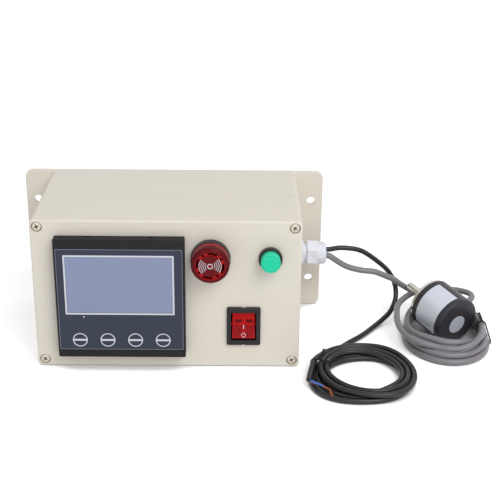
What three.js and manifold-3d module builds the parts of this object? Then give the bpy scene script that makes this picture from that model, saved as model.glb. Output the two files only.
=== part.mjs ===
// Length counter: a wall box with a panel counter, a buzzer, a reset button and a rocker
// switch, and a rotary sensor and a mains lead that leave it through one cable gland.
// Millimetres, +Z up. The front panel faces -Y, and the origin is on the floor below the box.

import * as THREE from 'three';
import { mergeVertices } from 'three/addons/utils/BufferGeometryUtils.js';
import Module from 'manifold-3d';

const wasm = await Module();
wasm.setup();

// Values shared by the whole object
const gap = 0.3;             // room between seated pieces
const overrun = 3;           // how far a cut runs past the face it opens
const wall = 3.2;            // moulded walls of the box
const quarterTurn = Math.PI / 2;
const fullTurn = Math.PI * 2;

// Box
const boxWidth = 200;
const boxHeight = 120;
const coverDepth = 56;
const caseDepth = 60;        // parting line to the back of the plate
const boxCorner = 3.8;
const frontFillet = 1.5;
const earWidth = 22.5;       // plate beyond either side of the box
const plateThickness = 4.5;
const plateCorner = 6;
const earHoleRadius = 3.5;
const earHoleOut = 13;       // hole centre beyond the side of the box
const earHoleSpanZ = 70;
const plateWidth = boxWidth + 2 * earWidth;
const earHoleSpanX = boxWidth + 2 * earHoleOut;
const boxDepth = coverDepth + caseDepth;

// Box screws
const screwInset = 5.5;
const screwHeadRadius = 3.8;
const screwHeadHeight = 2.4;
const screwHeadFillet = 1;
const screwShankRadius = 1.9;
const screwTipRadius = 1.4;
const screwLength = 74;
const screwRecess = 3;
const crossWidth = 1;
const crossDepth = 1.5;
const postRadius = 5;
const pilotDepth = 24;

// Gasket between cover and case
const gasketWidth = 1;
const gasketHeight = 1.6;

// Panel counter
const counterSide = 96;
const counterProud = 8.6;
const counterCorner = 2;
const bezelFillet = 0.9;
const bezelWall = 2.4;
const bezelPlate = 3;
const bezelNotchWidth = 4;
const bezelNotchSpan = 46.6;
const bezelNotchDepth = 1.2;
const bezelNotchRise = 0.8;  // from the foot of the bezel to the notch
const bezelNotchHeight = 2.2;
const filmWidth = 93;
const filmHeight = 82;
const filmThickness = 0.5;
const filmDrop = 0.35;       // film centre below the bezel centre
const filmCorner = 0.8;
const windowWidth = 78.5;
const windowHeight = 45.3;
const windowX = -0.45;
const windowZ = 11.85;
const glassThickness = 3;
const glassFlange = 2;
const glassFlangeThickness = 1.4;
const keyRadius = 5.9;
const keyPitch = 20.8;
const keyRow = -33.3;
const keyCount = 4;
const keyPocket = 0.5;
const keyStemRadius = 2.5;
const boardThickness = 1.6;
const tactSide = 5;
const tactHeight = 1.6;
const counterBodyDepth = 62;
const counterBodyWall = 2;
const terminalWidth = 76;
const terminalHeight = 20;
const terminalDepth = 9;
const terminalWays = 10;
const terminalWell = 4.4;
const clipHeight = 26;
const clipThickness = 3;
const clipFoot = 5;
const clipLength = 50;
const clipPocket = 1;

// Buzzer
const buzzerCollarRadius = 14.8;
const buzzerCollarProud = 6.5;
const buzzerCollarFillet = 0.75;
const buzzerSealThickness = 1;
const buzzerTubeRadius = 11;
const buzzerBoreRadius = 9;
const buzzerTubeDepth = 38;
const buzzerFloor = 3.2;
const buzzerLensRadius = 14.2;
const buzzerLensProud = 16.5;
const buzzerLensFillet = 2.6;
const buzzerLensWall = 1.6;
const soundSlots = 4;
const soundSlotRadius = 9.6;
const soundSlotWidth = 1.7;
const soundSlotTurn = 22;    // half the angle of an arc slot, degrees
const soundHoleRadius = 1;
const soundSlotStart = -11;  // degrees from the +X axis
const sounderThickness = 1;
const nutThickness = 5;
const nutMargin = 3.6;

// Reset button
const resetCollarRadius = 8.8;
const resetCollarProud = 5;
const resetCollarFillet = 0.75;
const resetTubeRadius = 7.7;
const resetTubeDepth = 24;
const resetCapRadius = 7.3;
const resetCapProud = 11.8;
const resetCapFillet = 1;
const resetTravel = 2.5;
const resetStemRadius = 3.4;
const springWire = 0.8;
const springMeanRadius = 4.9;
const springCurls = 5;
const springDrop = 9;        // spring seat below the face of the panel
const contactBlockSide = 15;
const contactBlockDepth = 15;
const contactPinWidth = 2.8;
const contactPinThickness = 0.8;
const contactPinLength = 6;

// Rocker switch
const rockerZ = 35.2;
const frameWidth = 25.5;
const frameHeight = 31.5;
const frameProud = 2.3;
const frameCorner = 1.2;
const frameOpenWidth = 19.3;
const frameOpenHeight = 23.1;
const frameNotchWidth = 2.6;
const frameNotchDepth = 0.6;
const frameBodyWidth = 22;
const frameBodyHeight = 28;
const frameBodyDepth = 24;
const frameBodyWall = 1.3;
const rockerWidth = 17.3;
const rockerHalf = 10.3;
const rockerEnd = 1.3;       // height of the rocker's ends over the panel, level
const rockerFold = -0.76;    // height of the fold between its two faces
const rockerPivot = -3.3;
const rockerBottom = -9;
const rockerSwing = 22.6;    // degrees from one side down to the other
const rockerWall = 1.6;
const trunnionRadius = 1.5;
const tabWidth = 6.3;
const tabThickness = 0.8;
const tabLength = 9;
const tabSpanX = 10;
const tabSpanZ = 12;
const tabHeadMargin = 0.6;   // head of a tab beyond its blade
const tabHeadLength = 2.9;

// Row on the panel: each piece takes its own room, and the shares split the room that is left
// between the box's left side, the counter, the buzzer, the reset button and the right side
const rowShares = [0.2225, 0.1025, 0.4575];
const rockerShare = 0.561;   // of the way from the buzzer to the reset button
const buttonDrop = 28.8;     // buzzer and reset button below the top of the box
const clipRoom = wall + counterSide / 2 - bezelWall + clipThickness + clipFoot;
const counterRoom = counterSide / 2 + buzzerCollarRadius;
const buzzerRoom = buzzerTubeRadius + resetTubeRadius + 2 * nutMargin;
const resetRoom = resetTubeRadius + nutMargin + wall;
const rowFree = boxWidth - clipRoom - counterRoom - buzzerRoom - resetRoom;
const counterX = -boxWidth / 2 + clipRoom + rowShares[0] * rowFree;
const buzzerX = counterX + counterRoom + rowShares[1] * rowFree;
const resetX = buzzerX + buzzerRoom + rowShares[2] * rowFree;
const rockerX = buzzerX + rockerShare * (resetX - buzzerX);
const counterZ = boxHeight / 2;
const buttonZ = boxHeight - buttonDrop;

// Cable gland on the right wall
const glandY = 26;
const glandZ = 60;
const glandFlats = 18.5;
const glandFlange = 6.2;
const glandCapStart = 9.3;
const glandNeckRadius = 7.7;
const glandBoreRadius = 6.4;
const glandTail = 12;
const glandCapLength = 15.6;
const glandCapHex = 8.4;
const glandMouthRadius = 5.8;
const glandMouthLip = 1;
const glandThreadEnd = 14.5;
const glandNutThickness = 4.5;
const glandNutFlats = 21;
const insertStart = 2;

// Cables
const sensorCable = 5;
const powerCable = 4.2;
const sensorCableDrop = 2.6;
const powerCableRise = 3;
const cableInside = 12;      // cable left inside the box
const cableStraight = 27;    // how far out of the wall the cables run straight

// Rotary sensor: its own +Z runs out along the shaft, from the front edge of its cover
const sensorPlace = new THREE.Vector3(211.1, 7.7, 24.7);
const sensorHeading = 31.7;  // degrees, shaft turned from +Y towards -X
const sensorTilt = 8.8;      // degrees, shaft raised from level
const sensorRoll = 2.5;      // degrees, cable outlet raised from level
const housingRadius = 20;
const housingLength = 33;
const housingWall = 1.6;
const housingFillet = 2;
const flangeRadius = 19.3;
const flangeThickness = 2.5;
const spigotDepth = 7.5;
const pilotRadius = 10;
const pilotHeight = 5;
const flangeHoleCircle = 15;
const flangeHoleRadius = 1.3;
const flangeHoleDepth = 4;
const flangeHoles = 3;
const shaftRadius = 3;
const shaftTip = 28;
const shaftTail = -13.5;
const shaftChamfer = 0.5;
const flatDepth = 0.5;
const flatLength = 13;
const bearingRadius = 6.5;
const bearingWidth = 5;
const bearingRing = 1.1;
const shieldReach = 0.9;
const shieldThickness = 0.6;
const ballRace = 0.35;
const discRadius = 15;
const discThickness = 0.8;
const hubRadius = 5.5;
const hubLength = 3.2;
const boardStandoff = 5.5;
const readHeadWidth = 8;
const readHeadInner = 9.5;
const readHeadOuter = 16.9;
const outletPlace = -13;
const outletRadius = 3.6;
const bootLength = 4.2;
const bootRootRadius = 4.4;
const bootTipRadius = 3.7;
const bootLip = 1.2;

// Sensor cable coil: stacked turns that lean inwards, seen from above a half ellipse in
// front and a longer one behind
const sensorCoilX = 221;
const sensorCoilY = -15;
const sensorCoilHalfWidth = 32;
const sensorCoilFront = 39;
const sensorCoilBack = 52;
const sensorCoilPitch = 5.5;
const sensorCoilSteps = 82;
const sensorCoilStart = 35;  // degrees
const sensorLeanLeft = 84;   // degrees, lean of the stack from level
const sensorLeanRight = 74;
const sensorLeanFront = 63;
const sensorClimbFrom = 135; // degrees, where each turn starts to climb a slot
const sensorClimbSpan = 90;
const sensorSagFrom = 245;   // where the third turn sags back
const sensorSagSpan = 80;
const sensorRollFrom = 357;  // where two turns roll over each other
const sensorRollSpan = 94;
const sensorRollShare = 0.03;  // of a pitch, room made for that

// Power cable coil: a flat spiral inwards with a second spiral outwards on top of it
const powerCoilX = 149.5;
const powerCoilY = -75.5;
const powerCoilHalfWidth = 39;
const powerCoilHalfDepth = 40.5;
const powerCoilPitch = 4.8;
const powerCoilSpread = 5.9;
const powerCoilTurns = 5;
const powerCoilShift = 3;    // lower layer moved to the front left, upper to the back right
const powerCoilClimbShare = 0.2;  // of a turn, to get from the lower layer to the upper
const powerEndOut = 0.5;     // the cable's cut end beside its last turn
const powerCoilStart = 134;  // degrees
const loopSteps = 24;
const loopSides = 6;

// Ties and cores
const tieRadius = 0.6;
const tieClearance = 0.4;
const tieLiftReach = 15;     // degrees of coil lifted on either side of a tie
const tieTwists = 1.5;
const tieTwistRadius = 0.8;
const tieEndSensor = [-3, 1, 7];
const tieEndPower = [3, 6, 6];
const sensorTieAngle = -10;
const powerTieAngle = 164;
const coreRadius = 0.9;
const copperRadius = 0.6;
const cordSteps = 2;         // cable diameters between two sections of a free cable

// Free stretches of the cables, from the gland or the coil outwards
const sensorLeadRoute = [
  [132.6, 26, 54], [138.2, 26, 50.2], [144.8, 26.5, 46.8], [155.3, 27, 44], [166, 27.5, 42.5],
  [177, 29, 37.6], [182.3, 30.5, 34.7], [189.6, 35, 28], [198.4, 40.5, 20.6], [205.5, 45.2, 14.8],
  [213, 48, 10], [221, 48.6, 6.2], [229, 46, 3.9], [236, 40.5, 2.7], [241.2, 31, 2.5],
];
const sensorTailRoute = [
  [198.2, -42.9, 12.9], [192.3, -39.2, 13.3], [187.2, -33.2, 13.9], [183.2, -22.5, 14.8],
  [181.8, -10.5, 16], [182.8, 2, 17.2], [185.5, 14.5, 18.5], [192.5, 25.5, 20], [202, 34, 21], [213, 38, 21], [224, 38.5, 21.6],
  [233, 36, 22.8], [239.6, 31.6, 23.8], [243.6, 28, 24.3], [246.3, 24, 24.5], [247, 19.5, 24.5],
  [245.8, 15.4, 24.3],
];
const powerLeadRoute = [
  [135.9, 26.5, 64.2], [146.4, 27.5, 63.2], [154.7, 29.5, 60.3], [169.3, 35.5, 48.4], [179.6, 39, 37.5],
  [185.1, 39.5, 27], [186.5, 37, 19.7], [185.6, 32.5, 14.3], [180.6, 23.5, 7.8], [173.8, 16, 4.4],
  [165.8, 6.8, 2.5], [153.7, -9.3, 2.1], [141.5, -22.5, 2.1], [131.8, -34.8, 2.1],
];
const powerEndRoute = [
  [117.6, -51.8, 7.1], [113.8, -57.8, 7.8], [111.4, -64.4, 8.5], [109.9, -71, 8.6], [108.3, -78, 8.4],
  [107, -85, 8.1], [105.9, -91.5, 7.6],
];
const blueCoreRoute = [
  [106.9, -93, 7.7], [109.3, -94.4, 7.4], [112.8, -96.4, 6.9], [116.3, -98.6, 6.2],
];
const brownCoreRoute = [
  [105, -92.8, 6.4], [107, -94.2, 5.6], [110, -95, 5.2], [113, -96, 5.2],
];

const colours = {
  box: 0xd9d1c2, gasket: 0x3a3a3a, screw: 0xb9bcc0, bezel: 0x2f2e31, film: 0x434857,
  glass: 0x8e97b6, board: 0x2c6a42, terminal: 0x2d6b4a, red: 0xb81c20, green: 0x27c892,
  rubber: 0x222224, brass: 0xb08d4a, steel: 0xc7c9cc, gland: 0xdcdee8, power: 0x262529,
  sensor: 0x7d7880, housing: 0x242325, core: 0x3c62c0, brown: 0x6a3f26, copper: 0xc2693c,
};

// Solids

function closedGeometry(geometry) {
  const bare = geometry.index ? geometry.clone() : geometry;
  bare.deleteAttribute('normal');
  bare.deleteAttribute('uv');
  const merged = mergeVertices(bare);
  const position = merged.attributes.position;
  const index = merged.index.array;
  const kept = [];
  let volume = 0;
  const [a, b, c] = [new THREE.Vector3(), new THREE.Vector3(), new THREE.Vector3()];
  for (let i = 0; i < index.length; i += 3) {
    const [p, q, r] = [index[i], index[i + 1], index[i + 2]];
    if (p === q || q === r || r === p) continue;
    kept.push(p, q, r);
    a.fromBufferAttribute(position, p);
    b.fromBufferAttribute(position, q);
    c.fromBufferAttribute(position, r);
    volume += a.dot(b.cross(c));
  }
  if (volume < 0) kept.reverse();
  merged.clearGroups();
  merged.setIndex(kept);
  return merged;
}

function solid(geometry) {
  const closed = closedGeometry(geometry);
  return new wasm.Manifold(new wasm.Mesh({
    numProp: 3,
    vertProperties: new Float32Array(closed.attributes.position.array),
    triVerts: new Uint32Array(closed.index.array),
  }));
}

function geometryOf(shape) {
  const mesh = shape.getMesh();
  const geometry = new THREE.BufferGeometry();
  geometry.setAttribute('position', new THREE.BufferAttribute(new Float32Array(mesh.vertProperties), 3));
  geometry.setIndex(Array.from(mesh.triVerts));
  return geometry;
}

const joined = (first, ...others) => others.reduce((sum, other) => sum.add(solid(other)), solid(first));
const cutFrom = (body, ...tools) => tools.reduce((rest, tool) => rest.subtract(solid(tool)), body);

function piece(name, geometry, colour, roughness = 0.5, metalness = 0) {
  const shaped = geometry.isBufferGeometry ? closedGeometry(geometry) : geometryOf(geometry);
  const finished = shaped.toNonIndexed();
  finished.computeVertexNormals();
  const mesh = new THREE.Mesh(finished, new THREE.MeshStandardMaterial({ color: colour, roughness, metalness }));
  mesh.name = name;
  return mesh;
}

// Outlines and primitive forms

function roundedRectangle(width, height, radius, path = new THREE.Shape()) {
  const x = width / 2 - radius;
  const y = height / 2 - radius;
  path.absarc(x, y, radius, 0, quarterTurn);
  path.absarc(-x, y, radius, quarterTurn, 2 * quarterTurn);
  path.absarc(-x, -y, radius, 2 * quarterTurn, 3 * quarterTurn);
  path.absarc(x, -y, radius, 3 * quarterTurn, 4 * quarterTurn);
  path.closePath();
  return path;
}

function prism(shape, from, to, curveSegments = 2) {
  const depth = to - from;
  return new THREE.ExtrudeGeometry(shape, { depth, bevelEnabled: false, curveSegments }).translate(0, 0, from);
}

function box(width, height, from, to) {
  return new THREE.BoxGeometry(width, height, to - from).translate(0, 0, (from + to) / 2);
}

function disc(radius, from, to, sides = 32) {
  return new THREE.CylinderGeometry(radius, radius, to - from, sides)
    .rotateX(quarterTurn)
    .translate(0, 0, (from + to) / 2);
}

// Revolves [radius, height] points about the Z axis
function turned(points, sides = 32) {
  const profile = points.map(([radius, height]) => new THREE.Vector2(radius, height));
  return new THREE.LatheGeometry(profile, sides).rotateX(quarterTurn);
}

function ring(inner, outer, from, to, sides = 32) {
  return turned([[inner, from], [outer, from], [outer, to], [inner, to], [inner, from]], sides);
}

function hexPrism(flats, from, to) {
  const corner = flats / Math.sqrt(3);
  return new THREE.CylinderGeometry(corner, corner, to - from, 6)
    .rotateX(quarterTurn)
    .translate(0, 0, (from + to) / 2);
}

// A quarter round from one profile point to the next, for turned edges
function roundedEdge(radius, height, fillet, steps = 4) {
  return Array.from({ length: steps + 1 }, (_, i) => {
    const angle = quarterTurn * (1 - i / steps);
    return [radius - fillet + fillet * Math.sin(angle), height - fillet + fillet * Math.cos(angle)];
  });
}

// An outline prism whose +Z end has a rounded edge
function softFronted(shape, from, to, fillet, curveSegments = 2) {
  const body = new THREE.ExtrudeGeometry(shape, {
    depth: to - from - fillet,
    bevelEnabled: true,
    bevelThickness: fillet,
    bevelSize: fillet,
    bevelOffset: -fillet,
    bevelSegments: 3,
    curveSegments,
  }).translate(0, 0, from);
  const span = boxWidth + plateWidth;
  return solid(body).subtract(solid(box(span, span, from - fillet - overrun, from)));
}

const smooth = (share) => THREE.MathUtils.smoothstep(share, 0, 1);
const radians = THREE.MathUtils.degToRad;
const { lerp } = THREE.MathUtils;

// Tubes

// A tube round listed centre points. Its sections keep one corner towards the reference
// direction, so it never twists. A looped tube closes on itself.
function tube(points, radius, sides, reference, looped = false) {
  const count = points.length;
  const positions = [];
  const faces = [];
  points.forEach((point, i) => {
    const before = points[looped ? (i + count - 1) % count : Math.max(i - 1, 0)];
    const after = points[looped ? (i + 1) % count : Math.min(i + 1, count - 1)];
    const along = after.clone().sub(before).normalize();
    const up = reference.clone().addScaledVector(along, -reference.dot(along)).normalize();
    const side = along.clone().cross(up);
    for (let j = 0; j < sides; j += 1) {
      const angle = fullTurn * j / sides;
      positions.push(...point.clone()
        .addScaledVector(up, radius * Math.cos(angle))
        .addScaledVector(side, radius * Math.sin(angle)).toArray());
    }
  });
  const last = looped ? count : count - 1;
  for (let i = 0; i < last; i += 1) {
    for (let j = 0; j < sides; j += 1) {
      const k = (j + 1) % sides;
      const [row, next] = [i * sides, ((i + 1) % count) * sides];
      faces.push(row + j, next + j, next + k, row + j, next + k, row + k);
    }
  }
  for (let j = 1; j < sides - 1 && !looped; j += 1) {
    const end = (count - 1) * sides;
    faces.push(0, j, j + 1, end, end + j + 1, end + j);
  }
  const geometry = new THREE.BufferGeometry();
  geometry.setAttribute('position', new THREE.Float32BufferAttribute(positions, 3));
  geometry.setIndex(faces);
  return geometry;
}

// A free cable: a round section along a smooth curve through its points
function cable(points, diameter, sides) {
  const path = new THREE.CatmullRomCurve3(points, false, 'centripetal');
  const section = new THREE.Shape();
  for (let j = 0; j < sides; j += 1) {
    const angle = fullTurn * j / sides;
    const [x, y] = [diameter / 2 * Math.cos(angle), diameter / 2 * Math.sin(angle)];
    if (j === 0) section.moveTo(x, y);
    else section.lineTo(x, y);
  }
  const steps = Math.ceil(path.getLength() / (cordSteps * diameter));
  return new THREE.ExtrudeGeometry(section, { steps, extrudePath: path, bevelEnabled: false });
}

// Least distance between the skin of a wound tube's turns, measured on its centre points
function leastGap(points, diameter) {
  const along = [0];
  for (let i = 1; i < points.length; i += 1) along.push(along[i - 1] + points[i].distanceTo(points[i - 1]));
  let least = Infinity;
  for (let i = 0; i < points.length; i += 1) {
    for (let j = i + 1; j < points.length - 1; j += 1) {
      if (along[j] - along[i] < 4 * diameter) continue;
      const segment = new THREE.Line3(points[j], points[j + 1]);
      const nearest = segment.closestPointToPoint(points[i], true, new THREE.Vector3());
      least = Math.min(least, nearest.distanceTo(points[i]) - diameter);
    }
  }
  return least;
}

// Box: pieces below are drawn looking at the panel, x to the right, y up, and z out of it,
// with z = 0 on the face of the cover

const cornerPlaces = [[-1, 1], [1, 1], [-1, -1], [1, -1]].map(([x, z]) => [
  x * (boxWidth / 2 - screwInset), boxHeight / 2 + z * (boxHeight / 2 - screwInset),
]);

const headRoom = screwHeadRadius + gap;
const shankRoom = screwShankRadius + gap;
const panelHole = {
  counter: counterSide - 2 * bezelWall + gap,
  buzzer: buzzerTubeRadius + gap,
  reset: resetTubeRadius + gap,
};

function frontCover() {
  const outline = roundedRectangle(boxWidth, boxHeight, boxCorner);
  const inner = roundedRectangle(boxWidth - 2 * wall, boxHeight - 2 * wall, boxCorner - wall + gap);
  const shell = softFronted(outline, -coverDepth, 0, frontFillet).translate(0, boxHeight / 2, 0);
  const posts = cornerPlaces.map(([x, y]) => disc(postRadius, -coverDepth - overrun, 0, 16).translate(x, y, 0));
  const hollow = cutFrom(
    solid(prism(inner, -coverDepth - overrun, -wall).translate(0, boxHeight / 2, 0)), ...posts);
  const holes = [
    box(panelHole.counter, panelHole.counter, -wall - overrun, overrun).translate(counterX, counterZ, 0),
    disc(panelHole.buzzer, -wall - overrun, overrun).translate(buzzerX, buttonZ, 0),
    disc(panelHole.reset, -wall - overrun, overrun, 24).translate(resetX, buttonZ, 0),
    box(frameBodyWidth + 2 * gap, frameBodyHeight + 2 * gap, -wall - overrun, overrun)
      .translate(rockerX, rockerZ, 0),
    ...cornerPlaces.map(([x, y]) => disc(shankRoom, -coverDepth - overrun, overrun, 12).translate(x, y, 0)),
    ...cornerPlaces.map(([x, y]) => disc(headRoom, -screwRecess, overrun, 16).translate(x, y, 0)),
  ];
  return cutFrom(shell.subtract(hollow), ...holes);
}

function rearCase() {
  const front = -coverDepth - gap;
  const back = -boxDepth;
  const floor = back + plateThickness;
  const body = prism(roundedRectangle(boxWidth, boxHeight, boxCorner), back, front);
  const plate = prism(roundedRectangle(plateWidth, boxHeight, plateCorner), back, floor);
  const inner = roundedRectangle(boxWidth - 2 * wall, boxHeight - 2 * wall, boxCorner - wall + gap);
  const posts = cornerPlaces.map(([x, y]) => disc(postRadius, back, front + overrun, 16)
    .translate(x, y - boxHeight / 2, 0));
  const hollow = cutFrom(solid(prism(inner, floor, front + overrun)), ...posts);
  const grooveMiddle = wall / 2;
  const grooveOuter = roundedRectangle(
    boxWidth - 2 * grooveMiddle + gasketWidth + 2 * gap, boxHeight - 2 * grooveMiddle + gasketWidth + 2 * gap,
    boxCorner - grooveMiddle + gasketWidth / 2 + gap);
  grooveOuter.holes.push(roundedRectangle(
    boxWidth - 2 * grooveMiddle - gasketWidth - 2 * gap, boxHeight - 2 * grooveMiddle - gasketWidth - 2 * gap,
    boxCorner - grooveMiddle - gasketWidth / 2 - gap, new THREE.Path()));
  const earHoles = [-1, 1].flatMap((x) => [-1, 1].map((y) => disc(earHoleRadius, back - overrun, floor + overrun, 24)
    .translate(x * earHoleSpanX / 2, y * earHoleSpanZ / 2, 0)));
  const pilots = cornerPlaces.map(([x, y]) => disc(shankRoom, front - pilotDepth, front + overrun, 12)
    .translate(x, y - boxHeight / 2, 0));
  const glandHole = disc(glandNeckRadius + gap, -wall - overrun, overrun, 28)
    .rotateY(quarterTurn)
    .translate(boxWidth / 2, glandZ - boxHeight / 2, -(glandY + boxDepth / 2));
  return cutFrom(
    joined(body, plate).subtract(hollow),
    prism(grooveOuter, front - gasketHeight, front + overrun), ...earHoles, ...pilots, glandHole,
  ).translate(0, boxHeight / 2, 0);
}

function caseGasket() {
  const middle = wall / 2;
  const outline = roundedRectangle(
    boxWidth - 2 * middle + gasketWidth, boxHeight - 2 * middle + gasketWidth,
    boxCorner - middle + gasketWidth / 2);
  outline.holes.push(roundedRectangle(
    boxWidth - 2 * middle - gasketWidth, boxHeight - 2 * middle - gasketWidth,
    boxCorner - middle - gasketWidth / 2, new THREE.Path()));
  const top = -coverDepth - gap;
  return prism(outline, top - gasketHeight + gap, top).translate(0, boxHeight / 2, 0);
}

function coverScrew() {
  const under = -screwRecess + gap;
  const top = under + screwHeadHeight;
  const body = turned([
    [0, under - screwLength], [screwTipRadius, under - screwLength],
    [screwShankRadius, under - screwLength + screwShankRadius], [screwShankRadius, under],
    [screwHeadRadius, under], ...roundedEdge(screwHeadRadius, top, screwHeadFillet, 1), [0, top],
  ], 12);
  const arm = 2 * screwShankRadius + crossWidth;
  return cutFrom(
    solid(body),
    box(arm, crossWidth, top - crossDepth, top + overrun),
    box(crossWidth, arm, top - crossDepth, top + overrun),
  );
}

// Panel counter, drawn about the centre of its bezel

const filmBack = counterProud - filmThickness;
const plateFront = filmBack - gap;
const plateBack = counterProud - bezelPlate;
const keyPlaces = Array.from({ length: keyCount }, (_, i) => (i - (keyCount - 1) / 2) * keyPitch);

function counterBezel() {
  const outer = softFronted(roundedRectangle(counterSide, counterSide, counterCorner), gap, counterProud, bezelFillet);
  const innerSide = counterSide - 2 * bezelWall;
  const recess = roundedRectangle(filmWidth + 2 * gap, filmHeight + 2 * gap, filmCorner + gap);
  const notches = [-1, 1].flatMap((side) => [-1, 1].map((edge) => box(
    bezelNotchWidth, 2 * bezelNotchDepth, gap + bezelNotchRise, gap + bezelNotchRise + bezelNotchHeight,
  ).translate(side * bezelNotchSpan / 2, edge * counterSide / 2, 0)));
  return cutFrom(
    outer,
    box(innerSide, innerSide, gap - overrun, plateBack),
    prism(recess, plateFront, counterProud + overrun).translate(0, -filmDrop, 0),
    box(windowWidth, windowHeight, plateBack - overrun, counterProud).translate(windowX, windowZ, 0),
    ...keyPlaces.map((x) => disc(keyRadius + gap, plateFront - keyPocket, counterProud, 16).translate(x, keyRow, 0)),
    ...keyPlaces.map((x) => disc(keyStemRadius + gap, plateBack - overrun, plateFront, 10).translate(x, keyRow, 0)),
    ...notches,
  );
}

function counterFilm() {
  const outline = roundedRectangle(filmWidth, filmHeight, filmCorner);
  const sheet = prism(outline, filmBack, counterProud).translate(0, -filmDrop, 0);
  return cutFrom(
    solid(sheet),
    box(windowWidth, windowHeight, filmBack - overrun, counterProud + overrun).translate(windowX, windowZ, 0),
    ...keyPlaces.map((x) => disc(keyRadius + gap, filmBack - overrun, counterProud + overrun, 16)
      .translate(x, keyRow, 0)),
  );
}

function counterGlass() {
  const front = counterProud - gap;
  const flangeTop = plateBack - gap;
  const window = box(windowWidth - 2 * gap, windowHeight - 2 * gap, front - glassThickness - gap, front);
  const flange = box(
    windowWidth + 2 * glassFlange, windowHeight + 2 * glassFlange, flangeTop - glassFlangeThickness, flangeTop);
  return joined(window, flange).translate(windowX, windowZ, 0);
}

const boardFront = plateBack - gap - glassFlangeThickness - gap;
const tactTop = boardFront + tactHeight;

function counterKey() {
  const pad = disc(keyRadius, filmBack, counterProud, 16);
  const stem = disc(keyStemRadius, tactTop + gap, filmBack + filmThickness / 2, 10);
  return joined(pad, stem);
}

function counterBoard() {
  const side = counterSide - 2 * bezelWall - 2 * counterBodyWall - 4 * gap;
  const board = box(side, side, boardFront - boardThickness, boardFront);
  const switches = keyPlaces.map((x) => box(tactSide, tactSide, boardFront - boardThickness / 2, tactTop)
    .translate(x, keyRow, 0));
  return joined(board, ...switches);
}

const counterBodySide = counterSide - 2 * bezelWall - 2 * gap;
const counterBodyBack = -counterBodyDepth;
const clipHookBack = -wall - gap - clipLength;

function counterBody() {
  const front = plateBack - gap;
  const hollow = counterBodySide - 2 * counterBodyWall;
  const shelf = boardFront - boardThickness - gap;
  const ledge = hollow - 2 * counterBodyWall;
  return cutFrom(
    solid(box(counterBodySide, counterBodySide, counterBodyBack, front)),
    box(hollow, hollow, shelf, front + overrun),
    box(ledge, ledge, counterBodyBack + counterBodyWall, shelf + overrun),
    ...[-1, 1].map((side) => box(
      2 * clipPocket, clipHeight + 2 * gap, clipHookBack - 2 * gap, clipHookBack + clipFoot + 2 * gap,
    ).translate(side * counterBodySide / 2, 0, 0)),
  );
}

function counterTerminals() {
  const front = counterBodyBack - gap;
  const back = front - terminalDepth;
  const pitch = terminalWidth / terminalWays;
  const wells = Array.from({ length: terminalWays }, (_, i) => {
    const x = (i - (terminalWays - 1) / 2) * pitch;
    return [-1, 1].map((row) => box(terminalWell, terminalWell, back - overrun, back + terminalDepth / 2)
      .translate(x, row * terminalHeight / 4, 0));
  }).flat();
  const fins = Array.from({ length: terminalWays - 1 }, (_, i) => box(
    gap, terminalHeight + overrun, back - overrun, back + terminalDepth / 3,
  ).translate((i - (terminalWays - 2) / 2) * pitch, 0, 0));
  return cutFrom(solid(box(terminalWidth, terminalHeight, back, front)), ...wells, ...fins);
}

function counterClip(side) {
  const front = -wall - gap;
  const back = front - clipLength;
  const inner = counterBodySide / 2 + gap;
  const outer = inner + clipThickness;
  const hookTip = counterBodySide / 2 - clipPocket + gap;
  const arm = box(clipThickness, clipHeight, back, front).translate(side * (inner + outer) / 2, 0, 0);
  const foot = box(clipThickness + clipFoot, clipHeight, front - clipThickness, front)
    .translate(side * (inner + (clipThickness + clipFoot) / 2), 0, 0);
  const hook = box(outer - hookTip, clipHeight - 2 * gap, back, back + clipFoot)
    .translate(side * (hookTip + outer) / 2, 0, 0);
  return joined(arm, foot, hook);
}

// Buzzer, drawn about its own axis

const buzzerFlangeBack = gap + buzzerSealThickness + gap;

function buzzerBody() {
  const shelf = buzzerFlangeBack;
  const floor = -buzzerTubeDepth + buzzerFloor;
  return turned([
    [0, -buzzerTubeDepth], [buzzerTubeRadius, -buzzerTubeDepth], [buzzerTubeRadius, shelf],
    [buzzerCollarRadius, shelf], ...roundedEdge(buzzerCollarRadius, buzzerCollarProud, buzzerCollarFillet, 1),
    [buzzerBoreRadius, buzzerCollarProud], [buzzerBoreRadius, shelf],
    [buzzerBoreRadius - buzzerLensWall, shelf], [buzzerBoreRadius - buzzerLensWall, floor], [0, floor],
  ], 32);
}

function arcSlot(radius, width, middle, half, from, to) {
  const slot = new THREE.Shape();
  const [start, end] = [radians(middle - half), radians(middle + half)];
  slot.absarc(0, 0, radius + width / 2, start, end, false);
  slot.absarc(0, 0, radius - width / 2, end, start, true);
  slot.closePath();
  return prism(slot, from, to, 3);
}

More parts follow.
